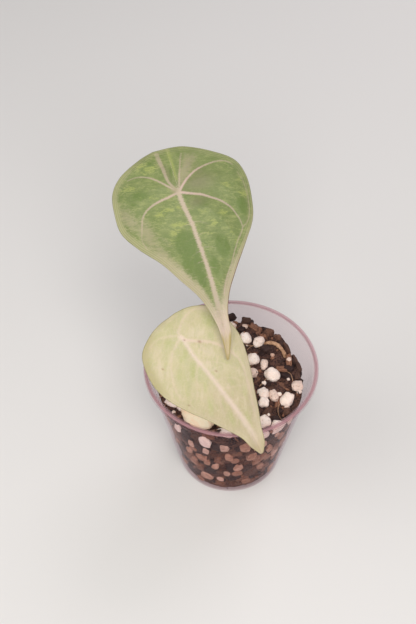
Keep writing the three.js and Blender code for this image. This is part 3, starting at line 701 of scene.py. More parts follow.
def green_ground(g, slow, strokes, hairs):
    """Green with brush-like mottles that run across the leaf."""
    patches = g.noise((0.221, 0.13, 1), 3, 0.55)
    busy = 1 - g.value("calm_zone")
    ragged = strokes - 0.5
    hatch = hairs - 0.5
    g.colour = g.mix(g.step(slow, 0.35, 0.65), (116, 132, 76), (127, 140, 86))
    brushed = g.step(strokes, 0.46, 0.58) * g.step(patches, 0.36, 0.56, 0.25, 1) * busy
    g.coat(brushed * 0.7, (152, 160, 102))
    dark = g.step(g.value("dark_zone") + ragged, 0.34, 0.6, 0, 0.9)
    g.coat(dark, (107, 127, 65))
    light_hair = g.step(hairs, 0.5, 0.62) * g.step(dark, 0, 0.7, 0.5, 0.12)
    g.coat(light_hair * g.step(patches, 0.4, 0.56, 0.4, 1) * busy, (162, 168, 112))
    g.coat(g.step(hairs, 0.34, 0.47, 0.26, 0), (100, 118, 66))
    pale = g.value("pale_zone") + ragged * 1.3 + hatch * 0.8
    g.coat(g.step(pale, 0.1, 1, 0, 0.82), (167, 161, 127))
    yellow = g.value("yellow_zone") + ragged * 2.2 + hatch * 1.8
    g.coat(g.step(yellow, 0.35, 0.85, 0, 0.85), (162, 170, 98))
    # Grey patches by the hub: painted sheen over the blade's own grey-green
    g.coat(g.value("grey_zone"), (138, 131, 101))
    g.coat(g.value("stripe_zone"), (158, 166, 98))


def green_margin(g, edge, mid, slow, hatch):
    """Pale margin with fine lines that follow it, and a neck that is pale all over."""
    reach = g.value("margin_reach") * (hatch * 1.6 + 1)
    band = g.step(edge / reach, 0.5, 1.2, 1, 0)
    margin = g.mix(g.value("pink_zone"), (174, 173, 127), (194, 180, 153))
    g.coat(band * g.value("margin_share"), margin)
    wave = g.math("SINE", edge * 8.5 + slow * 9)
    lines = g.step(wave, -0.4, 0.9) * g.step(edge, 0.3, 3.8, 1, 0)
    g.coat(lines * g.value("line_share"), (186, 178, 144))
    g.coat(g.step(wave, 0, -0.9) * g.step(edge, 0.4, 3.4, 0.5, 0), (144, 148, 98))
    beak = g.value("beak_zone")
    inner = g.mix(beak, (214, 198, 176), (221, 201, 184))
    outer = g.mix(beak, (189, 177, 149), (207, 190, 166))
    neck = g.mix(g.step(mid, -0.2, 2), inner, outer)
    fibres = g.noise((0.3, 2.4, 1), 3, 0.6)
    neck = g.mix(g.step(fibres, 0.46, 0.7, 0, 0.35), neck, (180, 166, 134))
    g.coat(g.step(g.value("neck_zone") + hatch * 0.7, 0.15, 0.95, 0, 0.92), neck)


def green_veins(g, edge, vein, mid):
    """Veins with ragged edges, then the beak's duller end and a thin reddish edge near the neck that is
    partly painted edge shadow.
    """
    wander = (g.noise((2, 1.4, 1), 4, 0.7) - 0.5) * 0.7
    lateral = g.step(vein + wander, -0.26, 0.3, 1, 0)
    g.coat(lateral * g.value("vein_strength"), (211, 184, 172))
    feather = (g.noise((2.4, 0.6, 1), 5, 0.7) - 0.5) * 2.6
    rib = g.step(mid + feather, -0.5, 0.42, 1, 0)
    rib_share = 0.88 - g.value("neck_zone") * 0.3 - g.value("beak_zone") * 0.38
    g.coat(rib * rib_share, (201, 183, 163))
    g.coat(g.value("hub_zone"), (166, 157, 124))
    g.coat(g.value("beak_end"), (198, 181, 136))
    g.coat(g.value("olive_zone"), (174, 156, 96))
    # Thin dark reddish line along the right margin: partly painted shadow at the edge
    g.coat(g.step(edge, 0.05, 0.35, 1, 0) * g.value("rim_zone"), (120, 80, 62))


def blade_green_material():
    """Upper blade: green brushed with yellow-green, pinkish cream veins and margin."""
    g = Graph("leaf green mottled", "leaf_place")
    edge, vein, mid = blade_terms(g)
    slow = g.noise((0.1, 0.07, 1), 2)
    strokes = g.noise((0.8, 0.27, 1), 6, 0.68, 1, turn=BRUSH_TURN)
    hairs = g.noise((2.3, 0.62, 1), 4, 0.7, 1.2, turn=BRUSH_TURN)
    green_ground(g, slow, strokes, hairs)
    net = g.cells((0.9, 0.55, 1), "DISTANCE_TO_EDGE")
    g.coat(g.step(net, 0, 0.06, 0.12, 0), (168, 164, 122))
    green_margin(g, edge, mid, slow, hairs - 0.5)
    green_veins(g, edge, vein, mid)
    below = underside(g, vein, mid, ((145, 152, 112), (182, 175, 141), (190, 180, 149)))
    below = g.mix(g.step(strokes, 0.45, 0.62, 0, 0.3), below, (166, 168, 121))
    return finish_blade(g, below, net, 0.00006, soft_glow(0.12, (0.6, 0.9, 0.25)))


def cream_ground(g, slow):
    """Cream washes, green and pale clouds and fine hairs, brushed from the hub outwards."""
    g.colour = g.mix(g.step(slow, 0.34, 0.66), (207, 195, 159), (196, 191, 147))
    g.coat(g.value("blush_zone"), (200, 179, 152))
    strokes = g.noise((0.16, 0.5, 1), 5, 0.65, 0.6, turn=0.6)
    hairs = g.noise((0.5, 1.7, 1), 4, 0.7, 0.8, turn=0.9)
    ragged = strokes - 0.5
    hatch = hairs - 0.5
    g.coat(g.step(strokes, 0.47, 0.66, 0, 0.5), (213, 202, 168))
    g.coat(g.step(strokes, 0.34, 0.5, 0.4, 0), (184, 186, 134))
    green = g.value("green_zone") + ragged * 0.8 + hatch * 0.4
    g.coat(g.step(green, 0.15, 0.9, 0, 0.8), (182, 185, 125))
    pale = g.value("pale_zone") + ragged + hatch * 0.5
    g.coat(g.step(pale, 0.25, 0.85, 0, 0.85), (216, 202, 172))
    g.coat(g.step(hairs, 0.5, 0.66, 0, 0.22), (218, 206, 174))
    g.coat(g.step(hairs, 0.34, 0.48, 0.16, 0), (180, 180, 130))
    g.coat(g.step(g.noise((1.3, 2, 1), 4, 0.7), 0.5, 0.7, 0, 0.3), (216, 204, 172))


def cream_margin(g, edge, slow):
    """Pinkish band with fine lines along the margin, shaded on the left, with a thin olive edge."""
    g.coat(g.step(edge, 0.4, 3.2, 1, 0) * g.value("margin_share"), (211, 196, 167))
    lines = g.math("SINE", (edge + slow) * 5.5)
    g.coat(g.step(lines, 0.2, 1) * g.step(edge, 0.4, 3.8, 0.25, 0), (186, 182, 135))
    g.coat(g.value("shade_zone"), (184, 174, 128))
    g.coat(g.step(edge, 0.05, 0.4, 0.6, 0), (156, 154, 94))


def cream_veins(g, vein, mid):
    """Soft pale veins with ragged edges, then the tip and the small brown marks."""
    wander = (g.noise((1.1, 1.1, 1), 5, 0.7) - 0.5) * 1.5
    lateral = g.step(vein + wander, -0.5, 0.75, 1, 0) * g.value("vein_strength")
    g.coat(lateral * 0.95, (228, 205, 186))
    g.coat(g.step(mid + wander, -0.9, 1, 1, 0) * g.value("rib_share"), (230, 210, 194))
    g.coat(g.value("tip_zone"), (196, 180, 141))
    g.coat(g.value("speck_zone"), (141, 98, 68))


def blade_cream_material():
    """Lower blade: cream with soft yellow-green clouds and paler veins."""
    g = Graph("leaf cream clouded", "leaf_place")
    edge, vein, mid = blade_terms(g)
    slow = g.noise((0.09, 0.12, 1), 2, 0.5)
    cream_ground(g, slow)
    net = g.cells((0.55, 0.38, 1), "DISTANCE_TO_EDGE")
    g.coat(g.step(net, 0, 0.05, 0.3, 0), (220, 206, 178))
    cream_margin(g, edge, slow)
    cream_veins(g, vein, mid)
    below = underside(g, vein, mid, ((194, 190, 149), (212, 201, 167), (218, 205, 175)))
    return finish_blade(g, below, net, 0.00005, soft_glow(0.15, (0.9, 0.9, 0.35)))


def petiole_material():
    """Pale green stalk with faint lengthwise streaks, blushing towards the base."""
    g = Graph("petiole")
    streaks = g.noise((900, 900, 40), 3, 0.6)
    g.colour = g.mix(g.step(streaks, 0.4, 0.65), (168, 176, 118), (206, 199, 154))
    blotches = g.noise((160, 160, 60), 3, 0.6)
    g.coat(g.step(blotches, 0.56, 0.68, 0, 0.55), (150, 136, 96))
    g.coat(g.step(g.value("stalk_share"), 0, 0.22, 0.75, 0), (196, 168, 140))
    rough = g.step(blotches, 0.3, 0.7, 0.38, 0.52)
    glow = soft_glow(0.1, (0.8, 0.9, 0.3))
    return g.finish(Roughness=rough, Normal=g.bump(streaks, 0.00006, 0.7), **glow)


def perlite_material():
    """White foamed grains with a warm cast, pitted, and browner and darker where their tint is high."""
    g = Graph("perlite")
    pits = g.cells(1900)
    tone = g.noise(320, 3, 0.6)
    brown_share = g.value("chip_tint")
    clean = g.mix(g.step(tone, 0.35, 0.65), (255, 238, 228), (246, 226, 214))
    brown_tone = g.mix(g.step(tone, 0.35, 0.65), (206, 162, 138), (168, 124, 100))
    g.colour = g.mix(g.step(brown_share, 0.2, 1), clean, brown_tone)
    g.coat(g.step(brown_share, 0.8, 1.2, 0, 0.6), (136, 94, 74))
    # Darker in the bottoms of the pits: painted shade
    g.coat(g.step(pits, 0, 0.35, 0.25, 0), (186, 152, 136))
    dirt = g.noise(700, 4, 0.7)
    g.coat(g.step(dirt, 0.52, 0.72) * g.step(brown_share, 0, 0.8, 0.3, 0.75), (138, 102, 82))
    relief = g.bump(pits, 0.00035, 0.6, g.bump(dirt, 0.0003, 0.5))
    rough = g.step(tone, 0.3, 0.7, 0.8, 0.95)
    return g.finish(Roughness=rough, Normal=relief, **soft_glow(0.15, (1, 0.8, 0.7)))


def bark_material():
    """Damp bark chips, from nearly black to warm tan as their tint rises, with a fibrous grain."""
    g = Graph("bark chips")
    tint = g.step(g.value("chip_tint"), 0.1, 0.9)
    fibre = g.noise((0.35, 3.2, 3.2), 4, 0.65, place=g.vector("chip_place"))
    dark = g.mix(tint, (40, 26, 27), (118, 78, 60))
    light = g.mix(tint, (68, 46, 42), (172, 124, 98))
    g.colour = g.mix(g.step(fibre, 0.38, 0.66), dark, light)
    dust = g.noise(900, 4, 0.7)
    g.coat(g.step(dust, 0.6, 0.72, 0, 0.3), (160, 130, 112))
    relief = g.bump(fibre, 0.0005, 0.8, g.bump(dust, 0.0002, 0.5))
    rough = g.step(fibre, 0.3, 0.7, 0.62, 0.88)
    return g.finish(Roughness=rough, Normal=relief, Specular_IOR_Level=0.35)


def mix_material():
    """Fine dark stuff between the chips, warmer and lighter where it lies against the wall, the lighter
    tone painted light through the clear wall.
    """
    g = Graph("potting mix")
    crumbs = g.cells(1300)
    tone = g.noise(420, 4, 0.7)
    cool = g.mix(g.step(tone, 0.35, 0.65), (38, 26, 30), (74, 52, 50))
    # Lighter copy for the fines against the wall: painted light
    warm = g.mix(g.step(tone, 0.35, 0.65), (58, 36, 29), (100, 66, 50))
    g.colour = g.mix(g.value("wall_light_share"), cool, warm)
    g.coat(g.step(crumbs, 0.3, 0.55, 0, 0.5), (116, 82, 68))
    relief = g.bump(crumbs, 0.0006, 0.9, g.bump(tone, 0.0005, 0.7))
    rough = g.step(tone, 0.3, 0.7, 0.75, 0.97)
    return g.finish(Roughness=rough, Normal=relief, Specular_IOR_Level=0.3)


def stone_material():
    """Pale tan stone, softly veined and pitted."""
    g = Graph("pale stone")
    tone = g.noise(180, 4, 0.6, 0.6)
    g.colour = g.mix(g.step(tone, 0.35, 0.68), (255, 244, 214), (255, 224, 188))
    pits = g.noise(1500, 3, 0.7)
    g.coat(g.step(pits, 0.6, 0.72, 0, 0.28), (206, 174, 138))
    relief = g.bump(pits, 0.0003, 0.7, g.bump(tone, 0.0006, 0.5))
    return g.finish(Roughness=g.step(pits, 0.3, 0.7, 0.72, 0.9), Normal=relief)


def root_material():
    """Dry yellow-brown root skin with fine rings and fibres."""
    g = Graph("dry root")
    fibre = g.noise((400, 400, 1400), 3, 0.65)
    g.colour = g.mix(g.step(fibre, 0.38, 0.64), (150, 112, 84), (192, 152, 120))
    spots = g.noise(900, 3, 0.6)
    g.coat(g.step(spots, 0.58, 0.7, 0, 0.5), (110, 78, 58))
    rough = g.step(spots, 0.3, 0.7, 0.55, 0.78)
    return g.finish(Roughness=rough, Normal=g.bump(fibre, 0.0002, 0.8))


def corm_material():
    """Tan ringed corm skin and pale fleshy roots."""
    g = Graph("corm and roots")
    rings = g.noise((60, 60, 900), 3, 0.6)
    g.colour = g.mix(g.step(rings, 0.4, 0.62), (196, 170, 132), (150, 118, 84))
    spots = g.noise(700, 3, 0.6)
    g.coat(g.step(spots, 0.5, 0.7, 0, 0.5), (226, 210, 180))
    rough = g.step(spots, 0.3, 0.7, 0.6, 0.82)
    return g.finish(Roughness=rough, Normal=g.bump(rings, 0.0003, 0.7))


def cup_material():
    """Clear formed plastic: see-through, mirroring where it turns away, a faint lilac layer and a painted
    rim highlight.
    """
    g = Graph("clear plastic")
    scuff = g.noise((300, 300, 60), 3, 0.6)
    normal = g.bump(g.noise((40, 40, 90), 1, 0.4), 0.0006, 0.25)
    facing = g.node("ShaderNodeLayerWeight", "Facing", {"Blend": 0.5, "Normal": normal})
    clear = g.shader("ShaderNodeBsdfTransparent", Color=(0.95, 0.91, 0.92, 1))
    rough = g.step(scuff, 0.35, 0.7, 0.06, 0.16)
    mirror = g.shader(
        "ShaderNodeBsdfAnisotropic", Color=(0.95, 0.9, 0.95, 1), Roughness=rough, Normal=normal)
    wall = g.blend(facing**8 * 0.55 + 0.004, clear, mirror)
    # Lilac layer in the light's lilac cast: a painted highlight on the rolled rim, faint elsewhere
    lilac = g.mix(scuff, (188, 142, 148), (166, 124, 131))
    lilac_layer = g.shader("ShaderNodeBsdfPrincipled", Base_Color=lilac, Roughness=0.3, IOR=1.5)
    lilac_layer_share = g.step(scuff, 0.3, 0.8, 0.001, 0.006) + g.value("rim_share")
    return g.finish_with(g.blend(lilac_layer_share, wall, lilac_layer))


def floor_material():
    g = Graph("pale floor")
    tone = g.noise(3, 2, 0.5)
    g.colour = g.mix(tone, (217.9, 216.5, 214.4), (220.6, 219.2, 217.2))
    return g.finish(Roughness=0.65, Specular_IOR_Level=0.2)


def cup_outer_radius(height):
    return CUP_BASE_RADIUS + (CUP_MOUTH_RADIUS - CUP_BASE_RADIUS) * (height / CUP_HEIGHT)


def cup_inner_radius(height):
    return cup_outer_radius(height) - CUP_WALL


def arc(centre, radius, start, end, steps):
    """Points on part of a circle, angles in degrees from +radius towards +height."""
    angles = np.radians(np.linspace(start, end, steps))
    return [(centre[0] + radius * math.cos(a), centre[1] + radius * math.sin(a)) for a in angles]


def turned(profile, sides):
    """Points and faces of a profile turned about Z. It starts and ends on the axis."""
    points = []
    rings = []
    for radius, height in profile:
        first = len(points)
        if radius < 1e-6:
            rings.append([first] * sides)
            points.append((0, 0, height))
        else:
            rings.append(list(range(first, first + sides)))
            points += [(x, y, height) for x, y in circle(radius, sides)]
    return points, skin(rings)


def cup_profile():
    """The cup's section from the axis out under the base, up, over the rim and down inside."""
    top = CUP_HEIGHT
    under_rim = top - CUP_WALL
    skirt = top - RIM_DROP
    inside_rim = RIM_RADIUS - CUP_WALL
    foot = (CUP_BASE_RADIUS - 1.1, FOOT_ROUNDING)
    rim = (RIM_RADIUS - RIM_ROUNDING, top - RIM_ROUNDING)
    lip = (cup_inner_radius(top) + LIP_ROUNDING, top - LIP_ROUNDING)
    profile = [(0, 0), (CUP_BASE_RADIUS - 1.2, 0)]
    profile += arc(foot, FOOT_ROUNDING, -75, -8, 6)
    profile += [(cup_outer_radius(z), z) for z in np.linspace(2, under_rim - 0.4, CUP_ROWS)]
    profile += [
        (cup_outer_radius(top) + 0.25, under_rim - 0.06), (inside_rim - 0.2, under_rim),
        (inside_rim, under_rim - 0.2), (inside_rim, skirt + 0.1),
        (inside_rim + RIM_CORNER, skirt), (RIM_RADIUS - RIM_CORNER, skirt),
        (RIM_RADIUS, skirt + RIM_CORNER),
    ]
    profile += arc(rim, RIM_ROUNDING, 5, 90, 8)
    profile += arc(lip, LIP_ROUNDING, 90, 172, 7)
    profile += [(cup_inner_radius(z), z) for z in np.linspace(top - 1.2, 2, CUP_ROWS)]
    profile += [(cup_inner_radius(CUP_WALL + 0.4), CUP_WALL + 0.5)]
    profile += [(cup_inner_radius(CUP_WALL) - 0.7, CUP_WALL), (0, CUP_WALL)]
    return profile


def build_cup():
    """Thin wall, flat base with drain holes, and a rolled rim."""
    points, faces = turned(cup_profile(), CUP_SIDES)
    piece = add_piece("cup_clear", "cup_plastic", points, faces, cup_material())
    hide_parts("cup")
    pierce(piece)
    places = np.array([tuple(vertex.co) for vertex in piece.data.vertices]) / MM
    radii = np.hypot(places[:, 0], places[:, 1])
    heights = places[:, 2]
    # Painted highlight on the rolled rim, and a faint lilac layer at the foot
    rim = ease(CUP_HEIGHT - 1.3, CUP_HEIGHT - 0.6, heights) * ease(*RIM_HIGHLIGHT_INSIDE, radii)
    rim *= 1 - ease(*RIM_HIGHLIGHT_OUTSIDE, radii)
    foot = (1 - ease(0.2, 2.2, heights)) * ease(*FOOT_HAZE_RADII, radii)
    add_values(piece, "rim_share", RIM_HIGHLIGHT * rim + FOOT_HAZE * foot)


def pierce(piece):
    """Cuts round drain holes through the cup's base, evenly around the axis."""
    cutters = bmesh.new()
    for index in range(DRAIN_COUNT):
        made = bmesh.ops.create_cone(
            cutters, cap_ends=True, segments=DRAIN_SIDES, radius1=DRAIN_RADIUS * MM,
            radius2=DRAIN_RADIUS * MM, depth=DRAIN_DEPTH * MM)
        angle = (index + 0.5) * FULL_TURN / DRAIN_COUNT
        place = Vector((*polar(DRAIN_CIRCLE_RADIUS, angle), 0)) * MM
        bmesh.ops.translate(cutters, verts=made["verts"], vec=place)
    tool_mesh = bpy.data.meshes.new("drain_cutter")
    cutters.to_mesh(tool_mesh)
    cutters.free()
    tool = add_object("drain_cutter", tool_mesh)
    cut = piece.modifiers.new("drains", "BOOLEAN")
    cut.operation = "DIFFERENCE"
    cut.solver = "EXACT"
    cut.object = tool
    evaluated = piece.evaluated_get(bpy.context.evaluated_depsgraph_get())
    pierced = bpy.data.meshes.new_from_object(evaluated)
    piece.modifiers.clear()
    piece.data = pierced
    bpy.data.objects.remove(tool)
    bpy.data.meshes.remove(tool_mesh)


def mix_height(x, y):
    """Height of the mix's surface: a shallow slope and hollow, then lumps."""
    level = MIX_LEVEL + MIX_TILT * y + MIX_HOLLOW * y * y - MIX_LEAN * x
    broad = 0.9 * np.sin(0.38 * x + 1.3) * np.cos(0.33 * y + 0.4)
    fine = 0.5 * np.sin(0.9 * x - 0.7 * y)
    return level + broad + fine


def on_mix(place, lift):
    """A point over or in the mix's surface."""
    return (*place, float(mix_height(*place)) + lift)


def kept_in_cup(points, inset=0):
    """The points with those past the cup's inner wall or floor pressed flat against it."""
    points = np.array(points, float)
    points[:, 2] = np.maximum(points[:, 2], CUP_WALL + GAP + inset)
    limit = cup_inner_radius(points[:, 2]) - GAP - inset
    radius = np.hypot(points[:, 0], points[:, 1])
    share = np.where(radius > limit, limit / np.maximum(radius, 1e-6), 1)
    points[:, :2] *= share[:, None]
    return points


def roughened(points, size, depth, seed):
    """Moves each point along its own direction from the axis and up, by smooth noise."""
    moved = []
    for x, y, z in points:
        sample = Vector((x / size + seed, y / size, z / size))
        shift = depth * (noise.noise(sample) + 0.5 * noise.noise(sample * 2.3))
        radius = math.hypot(x, y) or 1
        moved.append((x + shift * x / radius * 0.7, y + shift * y / radius * 0.7, z + shift * 0.7))
    return moved


def build_mix_body():
    """The fine stuff of the mix: a lumpy body that fills the cup."""
    floor = CUP_WALL + GAP
    loops = []
    for layer in range(MIX_LAYERS + 1):
        share = layer / MIX_LAYERS
        nominal = floor + share * (MIX_LEVEL - floor)
        sunk = 1.5 - 0.9 * ease(0.85, 1, share) - 0.8 * ease(0.12, 0.03, share)
        loops.append((cup_inner_radius(nominal) - GAP - sunk, share))
    edge = cup_inner_radius(MIX_LEVEL) - GAP - 0.6
    loops += [(edge * ring / MIX_RINGS, 1) for ring in range(MIX_RINGS - 1, 0, -1)]
    points = [(0, 0, floor)]
    rings = [[0] * MIX_SIDES]
    for radius, share in loops:
        rings.append(list(range(len(points), len(points) + MIX_SIDES)))
        for x, y in circle(radius, MIX_SIDES):
            points.append((x, y, floor + share * (float(mix_height(x, y)) - floor)))
    rings.append([len(points)] * MIX_SIDES)
    points.append(on_mix((0, 0), 0))
    for size, depth, seed in MIX_ROUGHENING:
        points = roughened(points, size, depth, seed)
    places = kept_in_cup(points, MIX_INSET)
    piece = add_piece("mix_fines", "potting_mix", places, skin(rings), mix_material())
    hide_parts("potting_mix")
    depth = cup_inner_radius(places[:, 2]) - np.hypot(places[:, 0], places[:, 1])
    # Where the fines lie against the clear wall, for their painted light
    add_values(piece, "wall_light_share", ease(4, 2, depth) * ease(50, 47, places[:, 2]))


def ball(detail):
    """Points and faces of a unit ball of triangles."""
    shape = bmesh.new()
    bmesh.ops.create_icosphere(shape, subdivisions=detail, radius=1)
    points = np.array([tuple(vertex.co) for vertex in shape.verts])
    faces = [tuple(vertex.index for vertex in face.verts) for face in shape.faces]
    shape.free()
    return points, faces


def turned_by(points, turn):
    return points @ np.array(Euler(turn).to_matrix()).T


class Heap:
    """Many small lumps gathered in one mesh, with each one's own place and tint."""

    def __init__(self, seed, detail):
        self.draw = seeded_draw(seed)
        self.base, self.base_faces = ball(detail)
        self.parts = []
        self.places = []
        self.tints = []

    def draws(self, *ranges):
        return tuple(self.draw(low, high) for low, high in ranges)

    def add(self, centre, half, turn, form, tint):
        """One lump: the ball squared off and roughened by its form, sized, turned and placed."""
        roundness, rough = form
        shape = np.sign(self.base) * np.abs(self.base) ** roundness
        shape /= np.abs(shape).max(axis=0)
        seed = Vector(self.draws(*[(0, 90)] * 3))
        swell = []
        for at in map(Vector, shape):
            coarse = rough * noise.noise(at * 1.3 + seed)
            fine = 0.45 * rough * noise.noise(at * 3.4 + seed)
            swell.append(1 + coarse + fine)
        shape = shape * np.array(swell)[:, None] * np.array(half)
        self.parts.append((turned_by(shape, turn) + np.array(centre), self.base_faces))
        self.places.append(shape + np.array(seed))
        self.tints.append(np.full(len(shape), tint))

    def piece(self, name, material, inset=0):
        points, faces = joined(self.parts)
        points = kept_in_cup(points, inset)
        made = add_piece(name, "potting_mix", points, faces, material)
        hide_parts("potting_mix")
        add_values(made, "chip_tint", np.concatenate(self.tints))
        add_vectors(made, "chip_place", np.vstack(self.places))


def clear_of_stems(place, room):
    return all(math.dist(place, (x, y)) > radius + room for x, y, radius in KEPT_CLEAR)


def sunflower_place(index, count, reach, turn):
    """One of many places spread evenly over the mix's surface."""
    return polar(reach * math.sqrt((index + 0.5) / count), turn + index * GOLDEN_ANGLE)


def against_wall(angle, z, depth, tilt):
    """Place and turn for a lump that lies flat on the inner wall, but for a tilt of its own."""
    centre = (*polar(cup_inner_radius(z) - GAP - 0.5 * depth, angle), z)
    flat = Euler((UPRIGHT_TURN, 0, angle + UPRIGHT_TURN)).to_matrix()
    return centre, (flat @ Euler(tilt).to_matrix()).to_euler()


def in_radians(lumps):
    return [(math.radians(angle), *rest) for angle, *rest in lumps]


def scattered_on_wall(draw, taken, count, sizes, spacing):
    """Places against the wall, clear of those taken, as (angle, height, half width, half height)."""
    made = []
    tries = 0
    while len(made) < count and tries < 20 * count:
        tries += 1
        angle = draw(0, FULL_TURN)
        z = draw(3, 47.5)
        width = draw(*sizes)
        height = width * draw(0.7, 1.3)
        reach = cup_inner_radius(z)
        gaps = (
            math.hypot(reach * math.remainder(angle - other[0], FULL_TURN), z - other[1])
            - spacing * (width + other[2])
            for other in taken + made
        )
        if min(gaps, default=1) > 0:
            made.append((angle, z, width, height))
    return made


def add_surface_chips(heap):
    """Chips lying at all angles, those under a placed grain sunk below it."""
    for index in range(CHIP_COUNT):
        place = sunflower_place(index, CHIP_COUNT, CHIP_REACH, heap.draw(-0.25, 0.25))
        half = heap.draws(*CHIP_SIZES)
        turn = heap.draws((-0.55, 0.55), (-0.55, 0.55), (0, 6.28))
        lift = heap.draw(-0.5, 0.9)
        tint = 0.75 * heap.draw(0, 1) ** 1.8
        if clear_of_stems(place, 0.5 * half[0]):
            is_under = any(
                math.dist(place, (x, y)) < 0.7 * half[0] + max(width, length)
                for x, y, width, length, *_ in SURFACE_GRAINS
            )
            lift -= CHIP_UNDER_GRAIN * is_under
            heap.add(on_mix(place, lift), half, turn, CHIP_FORM, tint)


def add_far_chips(heap):
    """Chips leaning on the far wall at the surface."""
    edge = cup_inner_radius(MIX_LEVEL)
    for index in range(FAR_CHIP_COUNT):
        angle = math.radians(10 + 164 * (index + heap.draw(0, 1)) / FAR_CHIP_COUNT)
        half = heap.draws(*FAR_CHIP_SIZES)
        z = float(mix_height(*polar(edge, angle))) + heap.draw(-0.6, 0.9)
        centre, turn = against_wall(angle, z, half[2] + 1, (0, 0, heap.draw(-1, 1)))
        heap.add(centre, half, turn, CHIP_FORM, 0.5 * heap.draw(0, 1))


def build_bark():
    """Chips on the surface, some up the far wall, and others flat against the wall."""
    heap = Heap(BARK_SEED, 3)
    add_surface_chips(heap)
    add_far_chips(heap)
    lumps = in_radians(WALL_LUMPS)
    others = scattered_on_wall(heap.draw, lumps, WALL_CHIP_COUNT, (1.5, 3.4), 0.52)
    places = [(*lump, 0.65) for lump in lumps]
    places += [(*other, heap.draw(0, 0.5)) for other in others]
    for angle, z, width, height, tint in places:
        depth = heap.draw(0.8, 1.4)
        tilt = (0, 0, heap.draw(-0.6, 0.6))
        centre, turn = against_wall(angle, z, 2 * depth + WALL_CHIP_SINK, tilt)
        heap.add(centre, (width, height, depth), turn, WALL_CHIP_FORM, tint)
    heap.piece("bark_chips", bark_material(), CHIP_INSET)


def add_surface_grains(heap):
    for x, y, width, length, turn, browning in SURFACE_GRAINS:
        half = (width, length, heap.draw(0.7, 0.9) * min(width, length))
        turn = (*heap.draws((-0.2, 0.2), (-0.2, 0.2)), turn)
        browning += heap.draw(0, 0.2)
        heap.add(on_mix((x, y), 0.75 * half[2]), half, turn, GRAIN_FORM, browning)


def add_wall_grains(heap):
    """Grains seen through the wall, browner and darker the lower they lie."""
    placed = [(angle, z, width, 1.4 * height) for angle, z, width, height in WALL_GRAINS]
    placed = in_radians(placed)
    others = scattered_on_wall(heap.draw, placed, WALL_GRAIN_COUNT, (1.2, 2.6), 0.95)
    for index, (angle, z, width, height) in enumerate(placed + others):
        depth = 0.75 * min(width, height)
        tilt = heap.draws(*[(-0.3, 0.3)] * 3)
        centre, turn = against_wall(angle, z, 0.9 * depth, tilt)
        browning = 0.12 if index < len(placed) else 0.42
        # Browner and darker below the top few millimetres, and a little more lower down the wall
        browning += 0.65 * ease(46.4, 43, z) + 0.06 * ease(42, 20, z) + heap.draw(-0.1, 0.2)
        heap.add(centre, (width, height, depth), turn, WALL_GRAIN_FORM, browning)


def add_small_grains(heap):
    for index in range(SMALL_GRAIN_COUNT):
        place = sunflower_place(index, SMALL_GRAIN_COUNT, SMALL_GRAIN_REACH, 1.1)
        size, lift = heap.draws((0.5, 1.3), (0.8, 1.5))
        if clear_of_stems(place, 1):
            half = (size, size * 0.9, size * 0.75)
            browning = heap.draw(0.1, 0.9)
            heap.add(on_mix(place, lift), half, (0, 0, 0), SMALL_GRAIN_FORM, browning)


def build_perlite():
    """Foamed white grains, those of the photo first, the rest by a rule."""
    heap = Heap(GRAIN_SEED, 3)
    add_surface_grains(heap)
    add_wall_grains(heap)
    add_small_grains(heap)
    heap.piece("perlite_grains", perlite_material())


def build_crumbs():
    """Small crumbs of bark and coir, two in three over the surface, the rest down the wall."""
    heap = Heap(CRUMB_SEED, 2)
    for index in range(CRUMB_COUNT):
        half = heap.draws(*CRUMB_SIZES)
        turn = heap.draws((0, 3), (0, 3), (0, 6.28))
        is_on_top = index % 3 != 0
        if is_on_top:
            radius = CRUMB_REACH * math.sqrt(heap.draw(0.005, 1))
            place = polar(radius, heap.draw(0, FULL_TURN))
            centre = on_mix(place, heap.draw(0.1, 1))
        else:
            angle, z = heap.draws((0, FULL_TURN), (1.5, 49))
            centre = (*polar(cup_inner_radius(z) - GAP - 0.3, angle), z)
        tint = heap.draw(0, 1) ** 1.4
        if not is_on_top or clear_of_stems(centre[:2], 0.3):
            heap.add(centre, half, turn, CRUMB_FORM, tint)
    heap.piece("mix_crumbs", bark_material(), CRUMB_INSET)


def swept(path, radius_at, sides, plane=None):
    """Points and faces of a tube along a path of points, closed at both ends. radius_at takes the
    share of the way and the angle. plane, as a point and a normal, cuts the far end."""
    path = np.asarray(path, float)
    count = len(path)
    tangents = np.gradient(path, axis=0)
    tangents /= np.linalg.norm(tangents, axis=1)[:, None]
    across = np.cross(tangents[0], (1, 0, 0) if abs(tangents[0][0]) < 0.9 else (0, 1, 0))
    points = []
    for step, (place, along) in enumerate(zip(path, tangents)):
        across = across - along * np.dot(across, along)
        across /= np.linalg.norm(across)
        other = np.cross(along, across)
        for side in range(sides):
            angle = side * FULL_TURN / sides
            right, up = polar(radius_at(step / (count - 1), angle), angle)
            point = place + right * across + up * other
            if plane is not None:
                height = np.dot(point - plane[0], plane[1])
                past = np.dot(along, plane[1])
                if step == count - 1 or height * past > 0:
                    point = point - along * height / past
            points.append(tuple(point))
    start = len(points)
    points += [tuple(path[0]), tuple(plane[0] if plane is not None else path[-1])]
    rings = np.arange(start).reshape(count, sides).tolist()
    return points, skin([[start] * sides, *rings, [start + 1] * sides])


def build_fibres(material):
    """Fine coir fibres lying over the mix."""
    draw = seeded_draw(FIBRE_SEED)
    parts = []
    for _ in range(FIBRE_COUNT):
        radius = FIBRE_REACH * math.sqrt(draw(0.05, 1))
        x, y = polar(radius, draw(0, FULL_TURN))
        heading = draw(0, FULL_TURN)
        bend = draw(-1.2, 1.2)
        length = draw(4, 10)
        path = []
        for share in np.linspace(0, 1, 7):
            ahead, aside = polar(length * share, heading + bend * share)
            path.append(on_mix((x + ahead, y + aside), 1.1 + 0.9 * math.sin(math.pi * share)))
        path = spline(path, np.linspace(0, 1, 22))
        parts.append(swept(path, lambda share, _: FIBRE_RADIUS * (1.1 - 0.5 * share), 6))
    points, faces = joined(parts)
    points = kept_in_cup(points)
    piece = add_piece("coir_fibres", "potting_mix", points, faces, material)
    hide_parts("potting_mix")


